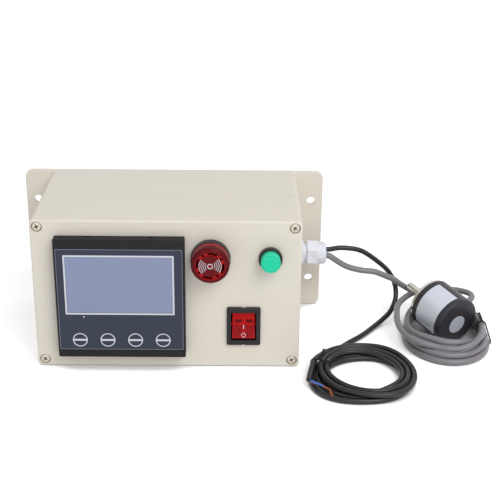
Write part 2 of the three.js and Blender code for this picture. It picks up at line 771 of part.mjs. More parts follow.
function buzzerLens() {
  const back = buzzerCollarProud + gap;
  const inner = buzzerLensRadius - buzzerLensWall;
  const spigot = buzzerBoreRadius - gap;
  const under = buzzerLensProud - buzzerLensWall;
  const cap = turned([
    [spigot - buzzerLensWall, buzzerFlangeBack + sounderThickness + 2 * gap],
    [spigot, buzzerFlangeBack + sounderThickness + 2 * gap], [spigot, back], [buzzerLensRadius, back],
    ...roundedEdge(buzzerLensRadius, buzzerLensProud, buzzerLensFillet, 3),
    [0, buzzerLensProud], [0, under], ...roundedEdge(inner, under, buzzerLensFillet - buzzerLensWall, 1).reverse(),
    [inner, back + buzzerLensWall], [spigot - buzzerLensWall, back + buzzerLensWall],
    [spigot - buzzerLensWall, buzzerFlangeBack + sounderThickness + 2 * gap],
  ], 32);
  const spacing = 360 / soundSlots;
  const slots = Array.from({ length: soundSlots }, (_, i) => arcSlot(
    soundSlotRadius, soundSlotWidth, soundSlotStart + i * spacing, soundSlotTurn, under - overrun,
    buzzerLensProud + overrun));
  const holes = Array.from({ length: soundSlots }, (_, i) => disc(
    soundHoleRadius, under - overrun, buzzerLensProud + overrun, 10,
  ).translate(soundSlotRadius, 0, 0).rotateZ(radians(soundSlotStart + (i + 0.5) * spacing)));
  return cutFrom(solid(cap), ...slots, ...holes);
}

function buzzerSounder() {
  const back = buzzerFlangeBack + gap / 2;
  return disc(buzzerBoreRadius - gap, back, back + sounderThickness, 32);
}

function panelNut(holeRadius) {
  const from = -wall - gap - nutThickness;
  return cutFrom(
    solid(hexPrism(2 * (holeRadius + nutMargin), from, -wall - gap)),
    disc(holeRadius + gap, from - overrun, overrun),
  );
}

// Reset button, drawn about its own axis

const capBack = resetTravel + 3 * gap;
const springSeat = -springDrop;

function resetCollar() {
  const wellFloor = gap;
  const capWell = resetCapRadius + gap;
  const springWell = springMeanRadius + springWire / 2 + gap;
  return turned([
    [resetStemRadius + gap, -resetTubeDepth], [resetTubeRadius, -resetTubeDepth], [resetTubeRadius, gap],
    [resetCollarRadius, gap], ...roundedEdge(resetCollarRadius, resetCollarProud, resetCollarFillet, 1),
    [capWell, resetCollarProud], [capWell, wellFloor], [springWell, wellFloor],
    [springWell, springSeat], [resetStemRadius + gap, springSeat], [resetStemRadius + gap, -resetTubeDepth],
  ], 24);
}

function resetCap() {
  const stemEnd = -resetTubeDepth + resetTravel + gap;
  return turned([
    [0, stemEnd], [resetStemRadius, stemEnd], [resetStemRadius, capBack], [resetCapRadius, capBack],
    ...roundedEdge(resetCapRadius, resetCapProud, resetCapFillet, 2), [0, resetCapProud],
  ], 24);
}

function resetSpring() {
  const from = springSeat + springWire / 2 + gap;
  const to = capBack - springWire / 2 - gap;
  const steps = 8 * springCurls;
  const points = Array.from({ length: steps + 1 }, (_, i) => {
    const angle = fullTurn * springCurls * i / steps;
    return new THREE.Vector3(
      springMeanRadius * Math.cos(angle), springMeanRadius * Math.sin(angle), from + (to - from) * i / steps);
  });
  console.log(`reset spring: least gap to itself ${leastGap(points, springWire).toFixed(2)} mm`);
  return tube(points, springWire / 2, 5, new THREE.Vector3(0, 0, 1));
}

function resetContactBlock() {
  const front = -resetTubeDepth - gap;
  const back = front - contactBlockDepth;
  const block = box(contactBlockSide, contactBlockSide, back, front);
  const pins = [-1, 1].flatMap((x) => [-1, 1].map((y) => box(
    contactPinThickness, contactPinWidth, back - contactPinLength, back + contactPinLength / 2,
  ).translate(x * contactBlockSide / 4, y * contactBlockSide / 4, 0)));
  return joined(block, ...pins);
}

// Rocker switch, drawn about the middle of its frame

function switchFrame() {
  const frame = softFronted(roundedRectangle(frameWidth, frameHeight, frameCorner), gap, frameProud, frameCorner / 2);
  const back = -frameBodyDepth;
  const body = solid(box(frameBodyWidth, frameBodyHeight, back, gap + frameProud / 2));
  const notches = [-1, 1].map((end) => box(frameNotchWidth, 2 * frameNotchDepth, gap - overrun, frameProud + overrun)
    .translate(0, end * frameHeight / 2, 0));
  const tabSlots = tabPlaces.map(([x, y]) => box(
    tabThickness + 2 * gap, tabWidth + 2 * gap, back - overrun, back + frameBodyWall + overrun,
  ).translate(x, y, 0));
  const pivotHole = disc(trunnionRadius + gap, -frameBodyWidth / 2 - overrun, frameBodyWidth / 2 + overrun, 16)
    .rotateY(quarterTurn)
    .translate(0, 0, rockerPivot);
  return cutFrom(
    frame.add(body),
    box(frameOpenWidth, frameOpenHeight, back + frameBodyWall, frameProud + overrun),
    pivotHole, ...tabSlots, ...notches,
  );
}

const tabPlaces = [-1, 1].flatMap((x) => [-1, 1].map((y) => [x * tabSpanX / 2, y * tabSpanZ / 2]));

function switchRocker() {
  const reach = Math.hypot(rockerHalf, rockerEnd - rockerPivot);
  const top = Math.atan2(rockerEnd - rockerPivot, rockerHalf);
  const bottom = Math.asin((rockerBottom - rockerPivot) / reach);
  const outline = new THREE.Shape();
  outline.moveTo(0, rockerFold);
  outline.lineTo(rockerHalf, rockerEnd);
  outline.absarc(0, rockerPivot, reach, top, bottom, true);
  outline.absarc(0, rockerPivot, reach, Math.PI - bottom, Math.PI - top, true);
  outline.lineTo(0, rockerFold);
  const body = prism(outline, -rockerWidth / 2, rockerWidth / 2, 3);
  const hollowWidth = 2 * (rockerHalf * Math.cos(bottom) - rockerWall);
  const hollowTop = rockerPivot - trunnionRadius - rockerWall;
  const trunnion = disc(trunnionRadius, -frameBodyWidth / 2 + gap, frameBodyWidth / 2 - gap, 16)
    .translate(0, rockerPivot, 0);
  const hollow = new THREE.BoxGeometry(
    hollowWidth, hollowTop - rockerBottom + overrun, rockerWidth - 2 * rockerWall,
  ).translate(0, (hollowTop + rockerBottom - overrun) / 2, 0);
  const standing = new THREE.Matrix4().makeBasis(
    new THREE.Vector3(0, 1, 0), new THREE.Vector3(0, 0, 1), new THREE.Vector3(1, 0, 0));
  return geometryOf(cutFrom(joined(body, trunnion), hollow))
    .applyMatrix4(standing)
    .translate(0, 0, -rockerPivot)
    .rotateX(-radians(rockerSwing / 2))
    .translate(0, 0, rockerPivot);
}

function switchTab() {
  const back = -frameBodyDepth;
  const headBack = back + frameBodyWall + gap;
  const tab = box(tabThickness, tabWidth, back - tabLength, headBack + tabHeadLength / 2);
  const head = box(
    tabThickness + 2 * tabHeadMargin, tabWidth + 2 * tabHeadMargin, headBack, headBack + tabHeadLength);
  const hole = disc(tabThickness, -tabThickness - overrun, tabThickness + overrun, 10)
    .rotateY(quarterTurn)
    .translate(0, 0, back - 2 * tabLength / 3);
  return cutFrom(joined(tab, head), hole);
}

// Cable gland, drawn along its own axis with z = 0 on the outside of the wall

const sixthTurn = fullTurn / 6;

function glandBody() {
  const hex = hexPrism(glandFlats, gap, glandFlange).rotateZ(sixthTurn / 2);
  const thread = disc(glandNeckRadius, -glandTail, glandThreadEnd, 28);
  return cutFrom(joined(hex, thread), disc(glandBoreRadius, -glandTail - overrun, glandThreadEnd + overrun, 28));
}

const glandCapEnd = glandCapStart + glandCapLength;
const glandCapShoulder = glandCapStart + glandCapHex;

function glandCap() {
  const radius = glandFlats / 2;
  const fillet = radius - glandMouthRadius - glandMouthLip;
  const hex = hexPrism(glandFlats, glandCapStart, glandCapShoulder).rotateZ(sixthTurn / 2);
  const dome = turned([
    [0, glandCapShoulder - overrun], [radius, glandCapShoulder - overrun],
    ...roundedEdge(radius, glandCapEnd, fillet, 4), [0, glandCapEnd],
  ], 24);
  return cutFrom(
    joined(hex, dome),
    disc(glandNeckRadius + gap, glandCapStart - overrun, glandCapShoulder, 24),
    disc(glandMouthRadius, glandCapStart, glandCapEnd + overrun, 24),
  );
}

const cableHoles = [
  [-powerCableRise, powerCable / 2 + gap],
  [sensorCableDrop, sensorCable / 2 + gap],
];

function glandInsert() {
  const end = glandCapShoulder - gap;
  return cutFrom(
    solid(disc(glandBoreRadius - gap, insertStart, end, 28)),
    ...cableHoles.map(([x, radius]) => disc(radius, insertStart - overrun, end + overrun, 16).translate(x, 0, 0)),
  );
}

function glandLocknut() {
  const inside = -wall - gap;
  return cutFrom(
    solid(hexPrism(glandNutFlats, inside - glandNutThickness, inside)),
    disc(glandNeckRadius + gap, inside - glandNutThickness - overrun, overrun, 28),
  );
}

// Rotary sensor, drawn along its shaft

function sensorHousing() {
  const inner = housingRadius - housingWall;
  const back = -housingLength;
  const shell = turned([
    [inner, 0], [housingRadius, 0],
    ...roundedEdge(housingRadius, housingLength, housingFillet, 3).map(([radius, height]) => [radius, -height]),
    [0, back], [0, back + housingWall], [inner, back + housingWall], [inner, 0],
  ], 36);
  const outlet = disc(outletRadius + gap, inner - overrun, housingRadius + overrun, 16)
    .rotateY(quarterTurn)
    .translate(0, 0, outletPlace);
  return cutFrom(solid(shell), outlet);
}

const flangeFront = gap + flangeThickness;
const frontBearing = flangeFront + pilotHeight - bearingWidth - gap;
const rearBearing = -spigotDepth;

function sensorFlange() {
  const spigot = housingRadius - housingWall - gap;
  const seat = bearingRadius + gap;
  const shoulder = bearingRadius - bearingRing;
  const body = turned([
    [seat, -spigotDepth], [spigot, -spigotDepth], [spigot, gap], [flangeRadius, gap],
    [flangeRadius, flangeFront], [pilotRadius, flangeFront], [pilotRadius, flangeFront + pilotHeight],
    [seat, flangeFront + pilotHeight], [seat, frontBearing - gap], [shoulder, frontBearing - gap],
    [shoulder, rearBearing + bearingWidth + gap], [seat, rearBearing + bearingWidth + gap], [seat, -spigotDepth],
  ], 32);
  const holes = Array.from({ length: flangeHoles }, (_, i) => disc(
    flangeHoleRadius, flangeFront - flangeHoleDepth, flangeFront + overrun, 10,
  ).translate(flangeHoleCircle, 0, 0).rotateZ(fullTurn * (i + 0.5) / flangeHoles));
  return cutFrom(solid(body), ...holes);
}

const outerRace = bearingRadius - bearingRing;
const innerRace = shaftRadius + gap + bearingRing;

function bearingOuter(from) {
  const to = from + bearingWidth;
  const reach = outerRace - shieldReach + ballRace;
  return turned([
    [bearingRadius, from], [bearingRadius, to], [reach, to], [reach, to - shieldThickness],
    [outerRace + ballRace, to - shieldThickness], [outerRace + ballRace, from + shieldThickness],
    [reach, from + shieldThickness], [reach, from], [bearingRadius, from],
  ], 20);
}

function bearingInner(from) {
  const bore = shaftRadius + gap;
  return ring(bore, innerRace - gap, from, from + bearingWidth, 20);
}

function sensorShaft() {
  const bar = turned([
    [0, shaftTail], [shaftRadius, shaftTail], [shaftRadius, shaftTip - shaftChamfer],
    [shaftRadius - shaftChamfer, shaftTip], [0, shaftTip],
  ], 24);
  const flat = box(2 * shaftRadius, 2 * shaftRadius, shaftTip - flatLength, shaftTip + overrun)
    .translate(0, -(2 * shaftRadius - flatDepth), 0);
  return cutFrom(solid(bar), flat);
}

const hubFront = rearBearing - gap;
const discFront = hubFront - hubLength - gap;

const sensorHub = () => ring(shaftRadius + gap, hubRadius, hubFront - hubLength, hubFront, 20);
const codeDisc = () => ring(shaftRadius + gap, discRadius, discFront - discThickness, discFront, 32);

function sensorBoard() {
  const back = -housingLength + housingWall + boardStandoff;
  const board = disc(housingRadius - housingWall - gap, back, back + boardThickness, 32);
  const head = new THREE.BoxGeometry(readHeadOuter - readHeadInner, readHeadWidth, hubFront - hubLength / 2 - back)
    .translate(-(readHeadOuter + readHeadInner) / 2, 0, (hubFront - hubLength / 2 + back) / 2 + boardThickness / 2);
  const slotOuter = discRadius + 2 * gap;
  const slot = new THREE.BoxGeometry(slotOuter - readHeadInner + overrun, readHeadWidth + overrun, discThickness + 4 * gap)
    .translate(-(slotOuter + readHeadInner - overrun) / 2, 0, discFront - discThickness / 2);
  return cutFrom(joined(board, head), slot);
}

function sensorBoot() {
  const inner = housingRadius - housingWall;
  const innerFace = Math.sqrt(inner * inner - bootRootRadius * bootRootRadius) - gap;
  const outerFace = housingRadius + gap;
  const tip = outerFace + bootLength;
  const bore = sensorCable / 2 + gap;
  return turned([
    [bore, innerFace - bootLip], [bootRootRadius, innerFace - bootLip], [bootRootRadius, innerFace],
    [outletRadius, innerFace], [outletRadius, outerFace], [bootRootRadius, outerFace],
    [bootRootRadius, outerFace + bootLip], [bootTipRadius, tip], [bore, tip], [bore, innerFace - bootLip],
  ], 20).rotateY(quarterTurn).translate(0, 0, outletPlace);
}

// Cable routes and coils, in the object's own frame

const up = new THREE.Vector3(0, 0, 1);
const routePoints = (route) => route.map((point) => new THREE.Vector3(...point));

// A point of a coil at an angle of its ellipse, moved inwards and upwards
function coilPoint(centre, halfWidth, halfDepth, angle, inward, height) {
  const [c, s] = [Math.cos(angle), Math.sin(angle)];
  const inside = new THREE.Vector3(-c / halfWidth, -s / halfDepth, 0).normalize();
  const rim = new THREE.Vector3(centre[0] + halfWidth * c, centre[1] + halfDepth * s, height);
  return { inside, point: rim.addScaledVector(inside, inward) };
}

// How far a coil is lifted at a tie, so that the wire passes below it
function tieLift(degrees, tieAngle) {
  const apart = Math.abs(THREE.MathUtils.euclideanModulo(degrees - tieAngle + 180, 360) - 180);
  return (2 * tieRadius + tieClearance) * smooth(1 - apart / tieLiftReach);
}

// The sensor cable's coil, followed clockwise seen from above. Slot 0 lies on the floor and
// each further slot lies a pitch along the lean of the stack. The turns climb a slot behind
// the sensor, the third sags back on the left, and it rolls over the fourth at the front.
function sensorCoilPlace(degrees) {
  const angle = radians(degrees);
  const depth = Math.sin(angle) > 0 ? sensorCoilBack : sensorCoilFront;
  const sideLean = lerp(sensorLeanLeft, sensorLeanRight, (1 + Math.cos(angle)) / 2);
  const lean = radians(lerp(sideLean, sensorLeanFront, Math.max(0, -Math.sin(angle)) ** 2));
  const past = (turn, from, span) => smooth((from - 360 * turn - degrees) / span);
  const climb = [1, 2, 3].reduce((sum, turn) => sum + past(turn, sensorClimbFrom, sensorClimbSpan), 0);
  const sag = past(3, sensorSagFrom, sensorSagSpan);
  const roll = Math.PI * [3, 4].reduce((sum, turn) => sum + past(turn, sensorRollFrom, sensorRollSpan), 0);
  const spread = 0.5 + sensorRollShare * Math.sin(roll) ** 2;
  const slot = climb - sag + 0.5;
  const inward = sensorCoilPitch * (slot * Math.cos(lean) - spread * Math.cos(lean + roll));
  const rise = sensorCoilPitch * (slot * Math.sin(lean) - spread * Math.sin(lean + roll));
  const height = sensorCable / 2 + rise + tieLift(degrees, sensorTieAngle);
  return coilPoint([sensorCoilX, sensorCoilY], sensorCoilHalfWidth, depth, angle, inward, height);
}

const sensorCoilPoints = Array.from({ length: sensorCoilSteps + 1 }, (_, i) => (
  sensorCoilPlace(sensorCoilStart - 360 * i / loopSteps).point));

// The power cable's coil, followed anticlockwise seen from above: a spiral inwards on the
// floor and one outwards on top of it
function powerCoilPlace(turn) {
  const degrees = powerCoilStart + 360 * turn;
  const layers = turn < powerCoilTurns / 2 ? turn : powerCoilTurns - turn;
  const halfWidth = powerCoilHalfWidth - powerCoilPitch * layers;
  const halfDepth = powerCoilHalfDepth - powerCoilSpread * layers;
  const upper = smooth((turn - powerCoilTurns / 2) / powerCoilClimbShare + 0.5);
  const shift = -powerCoilShift * Math.cos(Math.PI * upper) * Math.sin(radians(degrees - powerCoilStart));
  const height = powerCable / 2 + powerCoilPitch * upper + tieLift(degrees, powerTieAngle);
  return coilPoint([powerCoilX, powerCoilY], halfWidth, halfDepth, radians(degrees), shift, height).point;
}

const powerCoilPoints = [
  ...Array.from({ length: powerCoilTurns * loopSteps + 1 }, (_, i) => powerCoilPlace(i / loopSteps)),
  ...routePoints(powerEndRoute),
];

// Free stretches start or end straight, a gap away from the coil's end
function besideEnd(points, atStart, distance) {
  const [end, inner] = atStart ? [points[0], points[1]] : [points.at(-1), points.at(-2)];
  const outward = end.clone().sub(inner).normalize();
  return end.clone().addScaledVector(outward, distance);
}

const meeting = (points, atStart, diameter) => [
  besideEnd(points, atStart, gap), besideEnd(points, atStart, gap + diameter),
];

// Ties

// Centre points of a wire drawn tightly round a row of corners at a given distance
function wireRound(corners, distance) {
  return corners.flatMap((corner, i) => {
    const before = corners[(i + corners.length - 1) % corners.length];
    const after = corners[(i + 1) % corners.length];
    const from = Math.atan2(corner[0] - before[0], before[1] - corner[1]) - Math.PI;
    const to = Math.atan2(after[0] - corner[0], corner[1] - after[1]) - Math.PI;
    const sweep = THREE.MathUtils.euclideanModulo(to - from, fullTurn) || Math.PI;
    const steps = Math.ceil(sweep / (quarterTurn / 3));
    return Array.from({ length: steps + 1 }, (_, k) => {
      const angle = from + sweep * k / steps;
      return [corner[0] + distance * Math.cos(angle), corner[1] + distance * Math.sin(angle)];
    });
  });
}

// A wire round a coil at one angle, with its two ends twisted together. The corners are
// given as distances inwards and upwards from a point of the coil.
function tie(origin, inside, corners, distance, twistFrom, twistTo) {
  const across = inside.clone().cross(up);
  const loop = wireRound(corners, distance).map(([u, v]) => origin.clone()
    .addScaledVector(inside, u)
    .addScaledVector(up, v));
  const axis = twistTo.clone().sub(twistFrom);
  const side = axis.clone().normalize().cross(across).normalize();
  const other = axis.clone().normalize().cross(side);
  const steps = 6 * tieTwists;
  const ends = [0, Math.PI].map((phase) => tube(Array.from({ length: steps + 1 }, (_, i) => {
    const angle = phase + fullTurn * tieTwists * i / steps;
    return twistFrom.clone().addScaledVector(axis, i / steps)
      .addScaledVector(side, tieTwistRadius * Math.cos(angle))
      .addScaledVector(other, tieTwistRadius * Math.sin(angle));
  }), tieRadius, 4, across));
  return joined(tube(loop, tieRadius, 5, across, true), ...ends);
}

function sensorTie() {
  const { inside, point } = sensorCoilPlace(sensorTieAngle);
  const top = sensorCoilPlace(sensorTieAngle - 3 * 360);
  const corners = [[0, 0], [top.point.clone().sub(point).dot(inside), top.point.z - point.z]];
  const distance = sensorCable / 2 + tieClearance + tieRadius;
  const crown = top.point.clone().addScaledVector(up, distance);
  return tie(point, inside, corners, distance, crown, crown.clone().add(new THREE.Vector3(...tieEndSensor)));
}

function powerTie() {
  const turn = (powerTieAngle - powerCoilStart) / 360;
  const [outer, inner, upperInner] = [0, 2, 3].map((turns) => powerCoilPlace(turn + turns));
  const inside = inner.clone().sub(outer).normalize();
  const inwards = (point) => point.clone().sub(outer).dot(inside);
  const rim = powerCoilShift * Math.sin(radians(powerTieAngle - powerCoilStart));
  const corners = [
    [0, 0], [inwards(inner), 0], [inwards(upperInner), powerCoilPitch], [rim - powerEndOut, powerCoilPitch],
  ];
  const distance = powerCable / 2 + tieClearance + tieRadius;
  const crown = outer.clone().addScaledVector(inside, inwards(upperInner) / 2)
    .addScaledVector(up, powerCoilPitch + distance);
  return tie(outer, inside, corners, distance, crown, crown.clone().add(new THREE.Vector3(...tieEndPower)));
}

// The object

const counter = new THREE.Group();
counter.position.set(counterX, counterZ, 0);
counter.add(
  piece('counter_bezel', counterBezel(), colours.bezel, 0.6),
  piece('counter_film', counterFilm(), colours.film, 0.35),
  piece('counter_glass', counterGlass(), colours.glass, 0.1),
  piece('counter_board', counterBoard(), colours.board, 0.5),
  piece('counter_case', counterBody(), colours.bezel, 0.6),
  piece('counter_terminals', counterTerminals(), colours.terminal, 0.5),
  piece('counter_clip_left', counterClip(-1), colours.bezel, 0.6),
  piece('counter_clip_right', counterClip(1), colours.bezel, 0.6),
);
keyPlaces.forEach((x, i) => {
  const key = piece(`counter_key_${i + 1}`, counterKey(), colours.film, 0.4);
  key.position.set(x, keyRow, 0);
  counter.add(key);
});

const buzzer = new THREE.Group();
buzzer.position.set(buzzerX, buttonZ, 0);
buzzer.add(
  piece('buzzer_body', buzzerBody(), colours.bezel, 0.4),
  piece('buzzer_lens', buzzerLens(), colours.red, 0.2),
  piece('buzzer_seal', ring(buzzerTubeRadius + gap, buzzerCollarRadius - gap, gap, gap + buzzerSealThickness),
    colours.rubber, 0.8),
  piece('buzzer_sounder', buzzerSounder(), colours.brass, 0.4, 1),
  piece('buzzer_nut', panelNut(buzzerTubeRadius), colours.bezel, 0.6),
);

const reset = new THREE.Group();
reset.position.set(resetX, buttonZ, 0);
reset.add(
  piece('reset_collar', resetCollar(), colours.bezel, 0.4),
  piece('reset_cap', resetCap(), colours.green, 0.35),
  piece('reset_spring', resetSpring(), colours.steel, 0.3, 1),
  piece('reset_nut', panelNut(resetTubeRadius), colours.bezel, 0.6),
  piece('reset_contacts', resetContactBlock(), colours.bezel, 0.6),
);

const rocker = new THREE.Group();
rocker.position.set(rockerX, rockerZ, 0);
rocker.add(
  piece('switch_frame', switchFrame(), colours.rubber, 0.4),
  piece('switch_rocker', switchRocker(), colours.red, 0.25),
);
tabPlaces.forEach(([x, y], i) => {
  const tab = piece(`switch_tab_${i + 1}`, switchTab(), colours.brass, 0.35, 1);
  tab.position.set(x, y, 0);
  rocker.add(tab);
});

const panel = new THREE.Group();
panel.position.set(0, -boxDepth / 2, 0);
panel.rotation.x = quarterTurn;
panel.add(
  piece('rear_case', rearCase(), colours.box, 0.55),
  piece('front_cover', frontCover(), colours.box, 0.55),
  piece('case_gasket', caseGasket(), colours.gasket, 0.9),
  counter, buzzer, reset, rocker,
);
cornerPlaces.forEach(([x, y], i) => {
  const screw = piece(`cover_screw_${i + 1}`, coverScrew(), colours.screw, 0.35, 1);
  screw.position.set(x, y, 0);
  panel.add(screw);
});

const gland = new THREE.Group();
gland.position.set(boxWidth / 2, glandY, glandZ);
gland.rotation.y = quarterTurn;
gland.add(
  piece('gland_body', glandBody(), colours.gland, 0.5),
  piece('gland_cap', glandCap(), colours.gland, 0.5),
  piece('gland_insert', glandInsert(), colours.rubber, 0.8),
  piece('gland_locknut', glandLocknut(), colours.gland, 0.5),
);

const sensorParts = new THREE.Group();
sensorParts.rotation.z = -radians(sensorRoll);
sensorParts.add(
  piece('sensor_housing', sensorHousing(), colours.housing, 0.4),
  piece('sensor_flange', sensorFlange(), colours.steel, 0.35, 1),
  piece('sensor_shaft', sensorShaft(), colours.steel, 0.25, 1),
  piece('front_bearing_outer', bearingOuter(frontBearing), colours.steel, 0.3, 1),
  piece('front_bearing_inner', bearingInner(frontBearing), colours.steel, 0.3, 1),
  piece('rear_bearing_outer', bearingOuter(rearBearing), colours.steel, 0.3, 1),
  piece('rear_bearing_inner', bearingInner(rearBearing), colours.steel, 0.3, 1),
  piece('code_hub', sensorHub(), colours.brass, 0.4, 1),
  piece('code_disc', codeDisc(), colours.steel, 0.2, 1),
  piece('sensor_board', sensorBoard(), colours.board, 0.5),
  piece('sensor_boot', sensorBoot(), colours.rubber, 0.8),
);
const sensor = new THREE.Group();
sensor.position.copy(sensorPlace);
sensor.rotation.set(-(quarterTurn - radians(sensorTilt)), 0, radians(sensorHeading), 'ZYX');
sensor.add(sensorParts);
sensor.updateMatrixWorld(true);

// Points on the axis of the sensor's cable outlet
const outletPoint = (distance) => new THREE.Vector3(distance, 0, outletPlace).applyMatrix4(sensorParts.matrixWorld);
const bootEnd = housingRadius + gap + bootLength;

// A cable's straight run through the gland
const glandPoints = (height) => [-cableInside, 0, glandCapStart, glandCapShoulder, cableStraight].map((x) => (
  new THREE.Vector3(boxWidth / 2 + x, glandY, height)));

const sensorLead = cable([
  ...glandPoints(glandZ - sensorCableDrop),
  ...routePoints(sensorLeadRoute),
  ...meeting(sensorCoilPoints, true, sensorCable).reverse(),
], sensorCable, 8);

const sensorTail = cable([
  ...meeting(sensorCoilPoints, false, sensorCable),
  ...routePoints(sensorTailRoute),
  outletPoint(bootEnd + sensorCable), outletPoint(bootEnd), outletPoint(housingRadius - 2 * housingWall),
], sensorCable, 8);

const powerLead = cable([
  ...glandPoints(glandZ + powerCableRise),
  ...routePoints(powerLeadRoute),
  ...meeting(powerCoilPoints, true, powerCable).reverse(),
], powerCable, 8);

console.log(`sensor coil: least gap to itself ${leastGap(sensorCoilPoints, sensorCable).toFixed(2)} mm`);
console.log(`power coil: least gap to itself ${leastGap(powerCoilPoints, powerCable).toFixed(2)} mm`);

const counterSet = new THREE.Group();
counterSet.add(
  panel, gland, sensor,
  piece('sensor_cord_lead', sensorLead, colours.sensor, 0.6),
  piece('sensor_cord_coil', tube(sensorCoilPoints, sensorCable / 2, loopSides, up), colours.sensor, 0.6),
  piece('sensor_cord_tail', sensorTail, colours.sensor, 0.6),
  piece('sensor_cord_tie', sensorTie(), colours.rubber, 0.6),
  piece('power_cord_lead', powerLead, colours.power, 0.5),
  piece('power_cord_coil', tube(powerCoilPoints, powerCable / 2, loopSides, up), colours.power, 0.5),
  piece('power_cord_tie', powerTie(), colours.rubber, 0.6),
  piece('blue_core', cable(routePoints(blueCoreRoute), 2 * coreRadius, 8), colours.core, 0.5),
  piece('brown_core', cable(routePoints(brownCoreRoute), 2 * coreRadius, 8), colours.brown, 0.5),
);

export default counterSet;
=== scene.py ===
# Looks of the length counter: its camera, cables, mouldings, fittings and light.
# Metres, +Z up, the front panel faces -Y. Sizes are written in millimetres times mm.

import math

import bmesh
import bpy
from mathutils import Matrix, Vector


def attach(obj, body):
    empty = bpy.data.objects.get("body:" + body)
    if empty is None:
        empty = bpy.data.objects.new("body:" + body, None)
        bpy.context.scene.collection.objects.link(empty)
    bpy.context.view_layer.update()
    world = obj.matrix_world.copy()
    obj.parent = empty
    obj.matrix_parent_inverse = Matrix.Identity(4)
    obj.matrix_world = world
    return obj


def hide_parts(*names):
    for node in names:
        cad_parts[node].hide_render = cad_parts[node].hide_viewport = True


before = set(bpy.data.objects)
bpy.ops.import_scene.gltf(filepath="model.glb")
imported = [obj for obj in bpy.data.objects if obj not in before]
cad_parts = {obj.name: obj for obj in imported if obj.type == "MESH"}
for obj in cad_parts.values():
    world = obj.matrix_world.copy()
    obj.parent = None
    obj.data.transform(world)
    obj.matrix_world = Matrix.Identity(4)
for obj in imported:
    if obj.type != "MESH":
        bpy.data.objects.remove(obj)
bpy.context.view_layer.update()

mm = 0.001


# Camera. It stands where the photograph was taken from: a little to the right of the
# box's middle, looking down at the panel by 23 degrees.

camera_heading = math.radians(0.6947)
camera_fall = math.radians(22.9145)
camera_roll = math.radians(0.67455)
camera_place = Vector((0.052607, -0.799017, 0.410696))
photo_focal = 1092.313      # pixels
photo_width = 500
sensor_width = 36

forward = Vector((
    math.sin(camera_heading) * math.cos(camera_fall),
    math.cos(camera_heading) * math.cos(camera_fall),
    -math.sin(camera_fall),
))
level = Vector((math.cos(camera_heading), -math.sin(camera_heading), 0))
above = level.cross(forward)
camera_right = level * math.cos(camera_roll) + above * math.sin(camera_roll)
camera_up = above * math.cos(camera_roll) - level * math.sin(camera_roll)

camera_data = bpy.data.cameras.new("camera")
camera_data.sensor_width = sensor_width
camera_data.lens = sensor_width * photo_focal / photo_width
camera_data.clip_start = 0.01
camera_data.clip_end = 20
camera = bpy.data.objects.new("camera", camera_data)
camera.matrix_world = Matrix.Translation(camera_place) @ Matrix(
    (camera_right, camera_up, -forward)).transposed().to_4x4()
bpy.context.scene.collection.objects.link(camera)
bpy.context.scene.camera = camera


# Sensor cable. One grey PVC cable of five millimetres: out of the gland, down and back to
# the floor, three and a half turns round the sensor, then over behind it into its side.
# One node group gives all finishes their blotches and grain, and some lighter edges that are partly rubbed
# wear and partly a painted highlight.

def linear(value):
    share = value / 255
    return share / 12.92 if share <= 0.04045 else ((share + 0.055) / 1.055) ** 2.4


def colour(red, green, blue):
    return (linear(red), linear(green), linear(blue), 1)


def math_node(tree, operation, first, second):
    node = tree.nodes.new("ShaderNodeMath")
    node.operation = operation
    for socket, value in zip(node.inputs, (first, second)):
        if isinstance(value, bpy.types.NodeSocket):
            tree.links.new(value, socket)
        else:
            socket.default_value = value
    return node.outputs[0]


def noise_node(tree, vector, scale, detail):
    node = tree.nodes.new("ShaderNodeTexNoise")
    node.inputs["Detail"].default_value = detail
    tree.links.new(vector, node.inputs["Vector"])
    tree.links.new(scale, node.inputs["Scale"])
    return node.outputs["Fac"]


